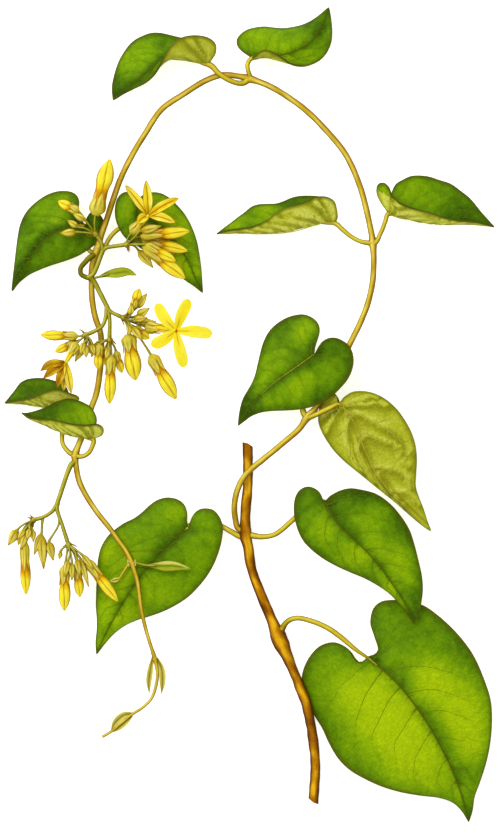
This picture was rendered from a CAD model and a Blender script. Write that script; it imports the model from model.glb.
# The looks of the Tonkin jasmine sprig. Its tables repeat the points that the solids are made from, in
# millimetres: x and y in the plane of the surface, z up from it. A few were set closer to what is seen.
# Everything is built in millimetres and turned into metres when a piece is finished.
import math
import bpy
import numpy as np
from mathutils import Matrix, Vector
from mathutils.bvhtree import BVHTree
from mathutils.kdtree import KDTree


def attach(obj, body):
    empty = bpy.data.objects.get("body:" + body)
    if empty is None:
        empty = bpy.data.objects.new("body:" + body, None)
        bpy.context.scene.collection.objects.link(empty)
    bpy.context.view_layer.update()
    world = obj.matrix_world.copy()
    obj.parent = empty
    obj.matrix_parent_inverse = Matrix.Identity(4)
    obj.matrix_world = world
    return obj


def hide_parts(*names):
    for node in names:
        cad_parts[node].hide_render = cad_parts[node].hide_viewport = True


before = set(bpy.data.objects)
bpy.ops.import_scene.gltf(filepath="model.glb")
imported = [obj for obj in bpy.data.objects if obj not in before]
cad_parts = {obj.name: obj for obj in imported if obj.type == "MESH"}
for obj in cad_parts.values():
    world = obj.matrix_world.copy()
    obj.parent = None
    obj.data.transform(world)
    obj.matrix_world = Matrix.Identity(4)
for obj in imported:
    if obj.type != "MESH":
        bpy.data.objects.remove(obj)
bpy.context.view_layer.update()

MM = 0.001
# How far a corolla stands clear of its calyx
CLEAR = 0.3


# Tables

def xyz(*numbers):
    """Plain numbers as points of three values."""
    return np.reshape(numbers, (-1, 3)).tolist()


def xy(*numbers):
    return np.reshape(numbers, (-1, 2)).tolist()


def buds(points, *rows):
    """Each row as some points of three values and the numbers that are left."""
    return [[*xyz(*row[:3 * points]), *row[3 * points:]] for row in rows]


def half(outline, heights, bows, lobe, heart=0.27):
    """One half of a blade: its margin from foot to tip, without the tip itself, the heights spread over it,
    how far its rows bow up, the share of the margin that goes round its lobe, and the heart of that lobe as
    a share of the way from midrib to margin."""
    return {"outline": xy(*outline), "heights": heights, "bows": bows, "lobe": lobe, "heart": heart}


def leaf(name, petiole, rib, heights, left, right, thick=0.95, short=False, turned_over=False):
    """A leaf: its stalk, its midrib with the heights spread over it, the halves of its blade and the stalk's
    radius. A short stalk ends on the blade, closer to what is seen than in the solids."""
    rib = xy(*rib)
    for one in (left, right):
        one["outline"].append(rib[-1])
    return {"name": name, "petiole": xyz(*petiole), "rib": rib, "heights": heights, "left": left,
            "right": right, "thick": thick, "short": short, "turned_over": turned_over}


WOOD_LINE = xyz(-0.9, -10.6, 4.7, -0.7, -20, 4.6, -0.9, -28, 4.5, -1.4, -33, 4.4, -1.7, -38, 4.3, -1.8, -43,
    4.2, -1.5, -46, 4.1, -0.6, -50, 4, 0.6, -57.7, 3.7, 4.3, -67.9, 3.3, 7.9, -76.4, 3.1, 11.4, -85, 2.95,
    14.1, -91, 3, 16.2, -96, 3.1, 17.9, -100, 3.2, 19.4, -104, 3.2, 21, -108, 3.2, 22.3, -113, 3.1, 23.7,
    -120.4, 2.8, 24.9, -132.6, 2.5, 24.2, -146.5, 2.4)
# The shoot in its order of growth: away from the wood, over the arch, down the left side and to its tip
SHOOT_LINE = xyz(-2.4, -43.8, 4.3, -4.7, -42.3, 4.6, -5.5, -39.5, 5.2, -5.95, -35, 6.2, -5.6, -31, 7.2, -4.6,
    -27.4, 8.2, -3.2, -24.4, 8.7, -0.8, -21.2, 8.9, 5, -16.3, 9.2, 13, -9.7, 10, 18.8, -4.6, 11, 21.7, -0.3,
    11.2, 24.6, 2.8, 10.6, 29, 9.6, 9.8, 37.9, 27.5, 9.2, 41.8, 35.4, 9, 44.5, 42.1, 9, 46.4, 49.9, 9, 47,
    57.2, 9, 46.7, 65.6, 9.2, 45.1, 74.7, 8.8, 41.8, 87.4, 8.2, 36.4, 99.5, 8, 29.1, 108.6, 8, 21.8, 115.9,
    8.2, 14.6, 121.3, 8.6, 7.3, 125.6, 9, 0, 128.3, 9.2, -5, 129.4, 8.8, -10.2, 129.8, 8.3, -16.2, 128, 8,
    -25.3, 122.5, 7.8, -33.8, 116.5, 7.8, -39.9, 107.4, 8, -44.7, 99.5, 8.3, -48.9, 91, 8.8, -52, 82.5, 9.5,
    -54.4, 75, 10, -56.6, 68.6, 10.4, -58, 63.4, 10.6, -59.9, 57.6, 10.5, -60.2, 49.8, 10.2, -59.9, 43.7, 10,
    -58.6, 37.1, 9.8, -56.9, 32.2, 9.6, -56.5, 27.6, 9.2, -57.1, 16.4, 8.2, -58.6, 8, 7.5, -60.5, 3, 7.2,
    -62.3, -2.5, 7.4, -64, -8, 8.1, -66.4, -14.5, 9, -66.2, -18, 9, -64.7, -25.2, 9, -59.2, -34.9, 8.9, -52.6,
    -43.4, 8.8, -47.1, -51.3, 8.7, -45.3, -54.9, 8.7, -42.9, -62.2, 8.4, -41.4, -72.5, 7.6, -39.9, -79.8, 6.8,
    -37.6, -87.6, 5.9, -36.3, -91.8, 5.4, -35.2, -97.8, 4.8, -35.8, -102.7, 4.3, -37.6, -107.4, 3.9, -41.1,
    -110.9, 3.6, -45, -113.4, 3.3, -48.6, -116.4, 3, -52.4, -119.6, 2.6, -56.2, -121.9, 2.2)
SHOOT_NODES = xy(21.7, -0.3, 46.7, 65.6, 0, 128.3, -58, 63.4, -66.4, -14.5, -45.3, -54.9, -36.3, -91.8)
# Line and width of each young leaf at the end of the shoot
YOUNG_LEAVES = [
    (xyz(-37, -91.6, 5, -38, -96.9, 4.8, -38.5, -101.2, 4.2, -38.3, -105.6, 3.6), 2.3),
    (xyz(-35.4, -91.8, 5.2, -33.6, -96.2, 5.2, -33.3, -101, 4.6, -33.7, -105.8, 3.8), 2.5),
    (xyz(-44.4, -113, 3.6, -48, -113.6, 3.9, -51.2, -116.4, 3.6, -53, -119.6, 3), 2.7),
    (xyz(-44.8, -113.8, 3.2, -47.2, -116, 3.6, -49.9, -118.4, 3.4, -52.3, -120.2, 2.8), 2.4),
]
# A tiny bract at a node of the shoot, on a stalk
BRACT_STALK = xyz(-45.6, -55.4, 8.4, -47.8, -58.6, 8, -49.6, -61.4, 7.8, -50.4, -61.9, 7.7)
BRACT = xyz(-49.6, -61.5, 7.8, -51.4, -62.2, 7.7, -53.2, -62.5, 7.6)
# How far the rows of an even half bow up, from its foot to its tip
FLAT = (0, 0.6, 1.1, 1.1, 0.8, 0.3)
LEAVES = [
    leaf("leaf_largest",
        (11.2, -82.6, 3.4, 12.5, -80.2, 4.6, 13.8, -78.3, 6.2, 15.6, -77.1, 7.6, 18.4, -76.6, 8.6, 24, -77.9,
         9.4, 30, -80.6, 9.9, 35, -84.2, 10, 40, -88.4, 9.9, 43.6, -90.9, 9.7, 45.2, -92, 9.2),
        (44.5, -91.3, 55.5, -101, 65, -113, 73, -126.5, 79.5, -141, 83.3, -154.5), (9.5, 9.8, 9, 7.4, 5.2,
         2.8, 0.9),
        half((47, -90.6, 48.6, -88.8, 47.2, -83.5, 45.7, -78.5, 47, -72.8, 50, -70.4, 53.5, -69.9, 60, -70.3,
             66, -72, 73, -77, 80, -84, 85, -91, 89, -100, 91.5, -108, 92, -115, 91.5, -123, 90, -131, 87.5,
             -139, 85.3, -145, 84.7, -150), (9, 6.2, 3.6, 3, 3.2, 2.8, 2, 1.2, 0.35, 0.5, 0.9), FLAT, 0.4),
        half((43, -93, 41.6, -93.4, 39.8, -92, 38, -89, 35, -86.8, 31.5, -85.8, 27, -87, 23.3, -90.5, 20.8,
             -95, 19.9, -98.5, 19.7, -102, 21.2, -107, 23.8, -112.5, 27.5, -118.5, 30, -124, 33.5, -130, 38,
             -134.5, 44, -138, 50, -140.7, 57, -142.8, 65, -144.2, 72, -145, 77.5, -147, 81, -150.5), (9, 7.4,
             4.6, 1.8, 0.35, 0.35, 0.9, 2, 2.2, 1.4, 0.6, 0.9), FLAT, 0.42), short=True),
    leaf("leaf_middle_right",
        (-0.8, -45, 4.4, 4.8, -45.7, 5.6, 9.5, -44.8, 6.6, 15, -40.5, 7.1, 19, -36.8, 7.5, 23, -34, 7.8, 26.6,
         -32.4, 9, 28.8, -32.4, 9.9, 30.2, -35, 10.2),
        (28.5, -32, 32, -39, 38, -45.5, 44, -51, 50, -58, 55, -65, 59.5, -72, 62.5, -79), (10.8, 11.8, 12,
         11.4, 10.2, 9.2, 8.4),
        half((30.5, -30, 34, -28.2, 38, -27.3, 43, -28, 48, -29.5, 53, -33, 57, -37.5, 60.5, -43, 62.5, -49,
             64, -55, 65.3, -61, 65.6, -66, 65, -71, 64.2, -75), (10.6, 9.6, 8.4, 7.6, 7.6, 7.6, 7.2, 7.6,
             8.4), FLAT, 0.24),
        half((27.6, -31.2, 26.5, -28.8, 24.5, -27.2, 21.8, -26.6, 19, -27.8, 17.3, -30.5, 16.7, -34.5, 17,
             -38.5, 18.2, -43, 20.5, -47.5, 24, -51, 28, -54, 32.5, -56.5, 38, -59, 44, -61.5, 49, -64.3,
             53.5, -67.5, 57.5, -72, 60, -75.5), (10.6, 10, 9.4, 9, 8.4, 8, 7.2, 7, 7.4, 8, 8.4), FLAT, 0.36),
             short=True),
    leaf("leaf_reversed",
        (21.7, -0.6, 11.3, 23.8, 0.2, 12.8, 27, 1.7, 14, 30.4, 3.3, 14.6, 33.4, 4.7, 14.4, 35, 4, 14.1),
        (33.8, 5, 37.6, 0.8, 40.8, -4.8, 43, -11, 46.5, -18, 49.5, -23.5, 54, -29, 62, -37, 69, -43.8), (13.8,
         13.6, 13, 12.2, 11.2, 10, 8.6, 7),
        half((33.4, 7, 32.4, 8.6, 30.6, 8.5, 27.8, 6.6, 26.5, 3.3, 26, 0, 26.2, -2.7, 27.5, -6, 29.5, -9.5,
             32, -13, 36, -17, 41, -21, 46, -25, 51, -29, 56, -33, 61, -37.5, 65.5, -41.3), (12.6, 9.6, 9.2,
             9, 8.8, 8.4, 8, 7.4, 7, 7), (0, -0.4, -0.8, -0.8, -0.5, -0.2), 0.3),
        half((35.4, 7.2, 38.5, 9.2, 42.5, 9.6, 47, 8.8, 51.5, 6.5, 55.5, 3, 58.5, -1, 61, -5.5, 62.7, -10.5,
             63.3, -16, 63, -22, 62.8, -26.5, 64, -30.5, 65.8, -35, 67.4, -40), (13, 10.8, 9, 7.6, 6.8, 6.4,
             6.4, 6.6, 7), (0, -0.6, -1.2, -1.2, -0.8, -0.3), 0.3), short=True, turned_over=True),
    leaf("leaf_centre",
        (21.6, -0.4, 11, 20.3, 1.6, 10.5, 19.9, 4, 10, 20.2, 9, 9.2, 21.6, 16, 10, 23.3, 20.8, 12.4, 24.2,
         23.4, 14.4),
        (24.5, 23.8, 20, 20.5, 15, 17, 10, 13.5, 6, 10, 2, 6, -1.5, 2, -4.6, -3.7), (14.8, 14.8, 14, 13, 12,
         11.2, 10.6),
        half((25.6, 26, 27.5, 28.5, 30, 29.8, 32.5, 29.9, 35, 28.9, 37.5, 27, 39, 24, 39.3, 20.5, 38.5, 17,
             37, 14, 34.5, 11, 32, 8.5, 28.5, 5.9, 25, 4.2, 20, 2.9, 14, 2.4, 8, 2.2, 4, 1.6, 0.5, 0.2, -2,
             -1.7), (14.6, 14, 13.6, 13.4, 13.4, 13.2, 12, 11, 10.6), (0, 0.3, 0.5, 0.8, 0.8, 0.3), 0.38),
        half((24.8, 26.6, 25.6, 29, 26.4, 31.5, 26.4, 34, 25.4, 36, 23.5, 37.6, 20.5, 38.7, 17, 38.4, 13.5,
             37.2, 10, 35, 7.5, 32.5, 6, 30, 4.8, 27, 3.8, 23, 3, 19.5, 2.2, 16, 0.8, 12.5, -1, 9.5, -2.7,
             6.5, -3.7, 3, -4.3, -0.5), (14.6, 13.2, 11.6, 10.4, 9.8, 9.6, 9.6, 10, 10.6), FLAT, 0.36)),
    leaf("leaf_lower_left",
        (-2.4, -46, 3.9, -4.8, -45.1, 3.6, -7.5, -43.6, 3.5, -11, -41.7, 3.1, -16.5, -40.4, 2.6, -20.6, -41,
         3.6, -23.2, -41.8, 5.1, -26.6, -45.6, 5.6),
        (-23.5, -42, -27, -46, -32, -50.5, -37, -56, -41, -60, -45, -66, -49, -72, -53, -79, -56, -85, -58.5,
         -90.7), (6.2, 6.6, 6.4, 5.6, 4.6, 3.4, 2, 0.9),
        half((-22.6, -39.8, -21.5, -37.2, -19.5, -35.4, -17, -34.9, -14, -35.5, -12, -37.5, -10.8, -40, -10.3,
             -43, -10.8, -47, -11.8, -51, -13.5, -55.5, -16, -60, -19.5, -64.5, -23.5, -68.5, -28, -71.5, -33,
             -74, -38, -75.8, -43, -77.3, -47.5, -79.3, -51.5, -82.2, -55, -86), (6, 5.8, 5.6, 5, 3.6, 2, 0.8,
             0.35, 0.35, 0.6, 0.9), FLAT, 0.33),
        half((-23.9, -39.4, -23.9, -36.4, -25, -33.4, -27.5, -31.5, -31.5, -30.8, -35, -31.7, -38, -33.7, -41,
             -36.5, -44, -38.8, -48, -40.7, -51.5, -43.2, -54, -45.5, -56.5, -49.5, -57.7, -54, -58, -58,
             -58.3, -63, -58.5, -68, -58.6, -72, -58.2, -77, -58.2, -81, -58.7, -86), (6, 5.8, 5, 4.4, 4.2, 4,
             3.4, 2.6, 1.8, 1, 0.9), FLAT, 0.38)),
    leaf("leaf_arch_left",
        (-0.6, 128, 9.3, -2.6, 126.7, 10, -5, 126.7, 10.8, -8.2, 127.9, 11.6, -12, 130.4, 12, -15, 133.4,
         11.6, -20, 134.8, 10.2),
        (-15.5, 134, -21, 135, -27, 136, -33, 136, -37.5, 132.5, -42, 128.5, -47, 124.5, -52.2, 120.2), (11.8,
         10, 8.2, 7, 6.4, 5.8, 5.2, 4.6),
        half((-14.2, 136, -12.9, 138.2, -12.9, 141, -15, 143.1, -19, 144.2, -23.5, 144.1, -27, 143, -30,
             140.5, -32.2, 137.2, -34.2, 133.3, -36.6, 129.6, -40, 126.5, -44, 124.6, -48.5, 122.6), (13.4,
             17, 20, 21.4, 21, 18.6, 15.4, 12, 8.4, 6.2, 5, 4.4, 4.6), (0, -0.6, -1.6, -1.8, -1, -0.2), 0.34),
        half((-14.6, 136.6, -15.6, 139.6, -18, 142.2, -22, 143.4, -26, 144, -30, 145, -34, 145.9, -37.5, 146,
             -40.5, 145, -43.5, 143.5, -46, 141.3, -48, 138.5, -49.7, 135.5, -51, 132, -51.8, 129, -52.4, 126,
             -52.5, 123.5), (10.4, 5, 2.4, 1.4, 0.9, 0.35, 0.35, 1, 2.4, 4.6), (0, -0.8, -1, -0.4, 0.2, 0.2),
             0.36)),
    leaf("leaf_arch_top",
        (0.2, 128.4, 9.4, -0.4, 130.4, 10.2, -0.9, 132.2, 10.4, -0.9, 134, 10.1, 0.4, 135.9, 9.4, 4.5, 136.9,
         9.3),
        (0.5, 136.2, 4, 136.6, 8, 137, 13, 137.7, 18, 139.3, 22.5, 142, 26, 146, 28.5, 151, 30, 155.8), (9.8,
         9.8, 9.2, 8.2, 6.8, 5, 3.2, 1.6),
        half((-1, 137.4, -3, 138.8, -4.8, 140.8, -5, 143.2, -3.3, 145.5, -1, 147, 2, 147.8, 5.5, 148.2, 9,
             147.8, 12.5, 147.6, 16, 148, 19.5, 148.8, 23, 150.3, 26, 152.3, 28, 154), (9.6, 7.4, 5, 3, 1.4,
             0.5, 0.35, 0.6, 1.6), FLAT, 0.36),
        half((2.2, 136.9, 3.5, 138.2, 5.5, 138.9, 8.5, 138.2, 12, 136.2, 15.5, 133.9, 20.5, 133.1, 25, 134.5,
             28.5, 137.5, 30.7, 142, 31.1, 146, 30.7, 151), (12.4, 15.2, 15, 12, 7.6, 4.4, 2.6, 1.6, 1, 0.8,
             1.6), (0, -2.2, -2.4, -0.4, 0.4, 0.2), 0.16), thick=0.8),
    leaf("leaf_folded_centre",
        (46.6, 65.7, 9.4, 44.6, 66, 9.6, 42, 66.5, 9.7, 38.5, 68.3, 9.5, 35, 71.2, 9, 32.2, 73.5, 8, 27, 73.6,
         6.8),
        (32.5, 73.8, 29, 74.3, 25, 73.2, 20, 71.8, 15, 70.5, 10, 70, 5, 69.8, 0, 70, -6, 70.1, -12.7, 69.6),
         (8.2, 7.2, 6.2, 5.4, 4.6, 3.8, 3, 2.2),
        half((33.2, 76, 33, 79, 32, 81.6, 29.8, 83, 27, 83.4, 24.5, 83, 21.5, 81.5, 18, 80.3, 14.5, 79.5,
             11.5, 78.3, 9.5, 77, 7.5, 75.3, 4.5, 73.5, 0.5, 72, -4, 71.3, -8, 70.8), (10.6, 15, 17.6, 18,
             16.4, 14, 11.4, 9.2, 7.4, 5.6, 2.2), (0, -0.6, -1.4, -1.6, -1, -0.2), 0.3),
        half((33.4, 75.6, 33, 78.6, 31.6, 81.4, 28.6, 83.2, 25, 83.9, 22, 84, 19, 83.9, 16, 83.3, 13, 82, 10,
             81, 6.5, 80.9, 3, 80.7, 0.5, 79.8, -2, 77.7, -5, 75.5, -7.5, 73.5, -10, 71.7), (7.2, 4, 2, 0.8,
             0.35, 0.35, 0.5, 0.8, 1.4, 2.2), (0, -0.6, -0.8, -0.6, -0.3, 0), 0.3), thick=0.8),
    leaf("leaf_folded_right",
        (46.9, 65.4, 9.6, 48.3, 66.8, 10.1, 49.3, 69, 10.4, 50.5, 71.6, 10.3, 51.5, 74.4, 10, 52.5, 77, 9.2,
         57, 76.4, 8),
        (52.5, 77.5, 57, 75.9, 60, 75.3, 64, 74.3, 68, 73.7, 72, 73.3, 76, 73.4, 80, 73.5, 85, 73.4, 89, 73,
         93, 72.2), (9.4, 8.4, 7.2, 6.2, 5.2, 4.2, 3.2, 2.2),
        half((53.2, 80, 53.8, 85, 55.4, 88.3, 58, 90, 61, 91.4, 64, 91.7, 68, 91.3, 72, 90, 76.5, 88.5, 80,
             86, 83.5, 83.2, 86, 80.3, 88, 77.7, 90.5, 75), (8, 4, 2, 0.8, 0.35, 0.35, 0.5, 1.2, 2.2), (0,
             -0.6, -0.8, -0.6, -0.3, 0), 0.3),
        half((51.4, 78.8, 49.8, 81, 48.4, 83.5, 47.9, 86.2, 48.8, 88.4, 50.8, 88.8, 52.6, 87, 53.4, 84.4,
             54.8, 82.4, 57, 80.9, 60, 79.5, 64, 78.4, 68, 77.4, 71, 76.4, 74, 75.4, 79, 74.5, 86, 73.9),
             (10.6, 12, 13, 15, 17.4, 17.8, 16.2, 13.6, 11, 8.8, 7, 5.2, 2.2), (0, 0, -0.8, -1.6, -1, -0.2),
             0.42), thick=0.8),
    leaf("leaf_upper_left",
        (-58.2, 62.9, 10.1, -59.6, 62.4, 8.7, -60.8, 62.8, 7.4, -61.6, 64, 6.4, -62.3, 67, 6, -62.5, 70.6,
         6.7, -63, 72.4, 7.7, -67.2, 72.2, 8.4),
        (-62.5, 72.5, -68, 72, -72, 71, -76, 69, -80, 65, -83, 61, -86.5, 56, -89, 51.5, -90.7, 47.5), (8.4,
         9.2, 9, 7.8, 6, 4, 2.2, 0.8),
        half((-62.2, 75.4, -60.6, 77.6, -58.6, 77.9, -56.4, 76, -55.3, 73, -55.4, 69.6, -56.7, 67, -59, 65.2,
             -62, 63, -65, 61.2, -70, 59.3, -75, 57.8, -80, 56, -84, 54.2, -87, 52, -89, 50), (8.2, 7.8, 7.6,
             7.8, 7.6, 6.2, 4.4, 2.6, 1.2, 0.8), (0, 0.2, 0.2, 0.4, 0.6, 0.2), 0.26, 0.5),
        half((-64.3, 75.4, -65, 79, -64.9, 82, -66, 84.3, -68, 85.4, -70.5, 85.7, -73.5, 85.5, -77, 84.3, -80,
             82.5, -83, 80, -85.5, 77, -87.3, 73, -88.2, 68.5, -88.8, 64, -89.5, 58, -90.2, 52), (8.2, 7.8, 6,
             4, 2.4, 1.2, 0.5, 0.35, 0.35, 0.8), FLAT, 0.34), thick=0.8),
    leaf("leaf_behind_flowers",
        (-57.9, 62.9, 10.2, -56.1, 63.6, 9.4, -55, 64.8, 8.6, -53.7, 67.3, 8.2, -51.6, 69.9, 8, -48.6, 72.2,
         7.9, -44.6, 75, 8.7, -40.2, 75, 9.6),
        (-43.2, 76, -39, 74.6, -33, 70, -29, 66.4, -26, 63, -23, 58, -20.5, 52, -18, 47), (9.6, 10.2, 10, 9.2,
         8, 6.4, 4.8, 3.2),
        half((-42.8, 79.4, -42.4, 82, -41, 84, -38, 85.1, -34.5, 85, -31, 83.3, -28, 80.5, -25, 77, -22.5,
             72.5, -20.5, 67, -19.5, 62, -18.8, 57, -18.4, 52), (9.4, 9, 8, 6.6, 5.4, 4.4, 3.8, 3.2, 3.2),
             FLAT, 0.34),
        half((-43, 79.4, -43.2, 82.4, -44.8, 84.7, -47.6, 85.3, -50, 83.5, -51.2, 80, -51.2, 76, -50, 72,
             -47.5, 68, -44, 65.7, -40, 63, -36, 60.5, -32, 57.5, -28, 54.3, -24, 51.5, -21, 49.5), (9.4, 9.6,
             9.8, 10, 10, 9.2, 8, 6.4, 4.8, 3.8, 3.2), FLAT, 0.4, 0.5), thick=0.8),
    leaf("leaf_folded_left_back",
        (-66.4, -14.6, 9, -68.2, -14, 8.3, -69.8, -12.6, 7.6, -71.3, -10, 6.6, -71.3, -5, 5.4, -70.4, 0, 4.8,
         -70.2, 4.4, 4.5, -74, 4.4, 4),
        (-70, 5, -74, 4, -77, 3.7, -80, 4, -83, 4.5, -86, 5, -90, 5.2, -93.5, 5.1), (4.8, 4.2, 3.8, 3.4, 2.8,
         2.2, 1.6),
        half((-69.4, 6.6, -66.6, 6.2, -64.8, 6.6, -65.4, 7.6, -68, 8.6, -71, 9.8, -74, 10.3, -78, 9.2, -81,
             7.8, -85, 6.6, -89, 6), (5.8, 7, 9, 11, 12, 11, 8.6, 6, 3.6, 1.6), (0, -0.4, -1, -1, -0.6, -0.1),
             0.4),
        half((-69.2, 7.4, -69.2, 9.6, -70.6, 12, -74.5, 13.6, -76.5, 14.2, -79, 14.6, -82, 14.6, -85, 14.1,
             -87.5, 12.7, -89.5, 10, -91.5, 7.5), (4.6, 3, 1.4, 0.6, 0.35, 0.35, 0.6, 1, 1.6), (0, -0.5, -0.7,
             -0.5, -0.2, 0), 0.3), thick=0.8),
    leaf("leaf_folded_left_front",
        (-66.3, -14.8, 9.2, -64.8, -15.2, 10.2, -63.2, -15, 10.8, -61.2, -13.7, 11.4, -59.9, -11.4, 12, -59.4,
         -8.8, 12.2, -63, -7.8, 12),
        (-59.5, -8.2, -62, -8, -65, -7.6, -68, -7, -70.5, -6.3, -73, -5.3, -76, -4, -79, -2.6, -82, -1.4, -85,
         0, -86.8, 1.4), (12.4, 12, 11.4, 10.6, 9.8, 8.8, 7.8, 6.8),
        half((-57.6, -7.6, -56, -6.8, -55.4, -5.4, -56.1, -3.8, -58, -3, -62, -3.3, -66, -3.1, -69, -2.6, -72,
             -1.8, -76, -1.2, -80, -1, -84, -0.4), (13.4, 17, 20, 21.4, 21, 19.4, 17.2, 15, 13, 10.8, 6.8),
             (0, -0.4, -1.2, -1.4, -0.8, -0.1), 0.34),
        half((-58.6, -6.2, -58.4, -3.4, -58.2, -0.8, -59, 1.5, -60.5, 3.7, -63, 5.2, -66, 6.4, -69, 6.9, -72,
             6.2, -75, 5, -77, 3.9, -79, 3, -82, 2, -85.3, 1.3), (12.2, 11.6, 11, 10.6, 10.4, 10.2, 9.6, 8.6,
             7.6, 6.8), (0, -0.3, -0.4, -0.4, -0.2, 0), 0.36), thick=0.8),
]
# The two flower stalks: the trunk of the upper one, its rise, and a branch to each umbel
UPPER_TRUNK = xyz(-58.8, 61.6, 10.8, -60.6, 60.5, 12.2, -62.3, 58.9, 12.8, -64.3, 56.2, 13.2, -64.1, 54,
    13.5, -62.3, 52.9, 13.8, -59.8, 52, 14, -57.2, 47.4, 14.2, -54, 41.2, 14.4)
UPPER_RISE = xyz(-61.6, 52.8, 13.9, -59.8, 53.8, 14.2, -58.3, 56.4, 14.4, -57, 60, 14.6, -55.6, 63.6, 14.8)
UPPER_PATHS = {
    "umbel_top": xyz(-55.8, 63.2, 14.8, -56.6, 66.4, 15, -58.7, 69.3, 15.2),
    "umbel_upper": xyz(-56, 62.8, 14.8, -54.6, 64, 14.8, -51.5, 64.6, 14.8, -46.8, 65.2, 14.8),
    "umbel_left": xyz(-54.4, 41.8, 14.4, -54.7, 38, 14.6, -56.2, 34.2, 14.8, -59.4, 32.2, 15, -62.4, 30.9,
        15.2),
    "umbel_hanging": xyz(-53.9, 40.6, 14.4, -53.3, 37, 14.4, -53.3, 29, 14),
    "umbel_right": xyz(-54.6, 42, 14.4, -53, 39.9, 14.5, -50.6, 38.6, 14.6, -48, 37.4, 14.6),
}
LOWER_TRUNK = xyz(-66.2, -17, 9, -67.8, -18.2, 9.8, -69.2, -21, 10.1, -70.8, -25.8, 10.2, -73.4, -33.6, 10.2)
LOWER_PATHS = {
    "umbel_lower_left": xyz(-73.2, -33, 10.2, -75, -35.9, 10, -78.6, -38.2, 9.6, -82.4, -39.4, 9.2),
    "umbel_lower_right": xyz(-72.9, -32.6, 10.2, -73.3, -35, 10.2, -71.2, -41.6, 10.4, -69, -48.7, 10.6),
}
# Buds on the lower stalk: fork, bend, base, tip and radius
SIDE_BUDS = buds(
    4,
    (-72.4, -38.6, 10.3, -72.8, -41.4, 10.2, -76.4, -47.6, 9.4, -74.8, -54.6, 8.2, 1.6),
    (-78.4, -38.2, 9.5, -78.9, -41, 9.4, -79.2, -44.4, 9, -82, -52.4, 8.4, 1.5),
    (-79, -38.4, 9.4, -79.1, -41.6, 9.2, -79.2, -45, 9, -78.4, -57.8, 8, 1.9),
)
# The lance leaf and the young leaf: stalk, line of the blade and its widths
NARROW_LEAVES = {
    "lance_leaf": (
        xyz(-60, 52.2, 13.9, -58.2, 52.8, 13.7, -56.8, 53.1, 13.6, -55.2, 53.7, 13.5, -53.6, 54.1, 13.4),
        xyz(-57, 53.1, 13.6, -54, 54, 13.4, -50, 54.6, 13, -46.6, 54.9, 12.4, -43, 53.6, 11.6), (1, 2.3, 3.6,
            3.7, 2.4, 0.7)),
    "young_leaf": (
        xyz(-45.3, -54.9, 8.7, -43.6, -55.4, 8.9, -42.2, -55.9, 9, -39.6, -56.5, 9.1, -36, -56.7, 9.2),
        xyz(-38.4, -56.6, 9.1, -34, -56.8, 9.2, -29.5, -56.8, 9.1, -26, -57.2, 8.8, -22.5, -58, 8.4), (1, 2.6,
            3.8, 3.4, 2, 0.7)),
}
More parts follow.
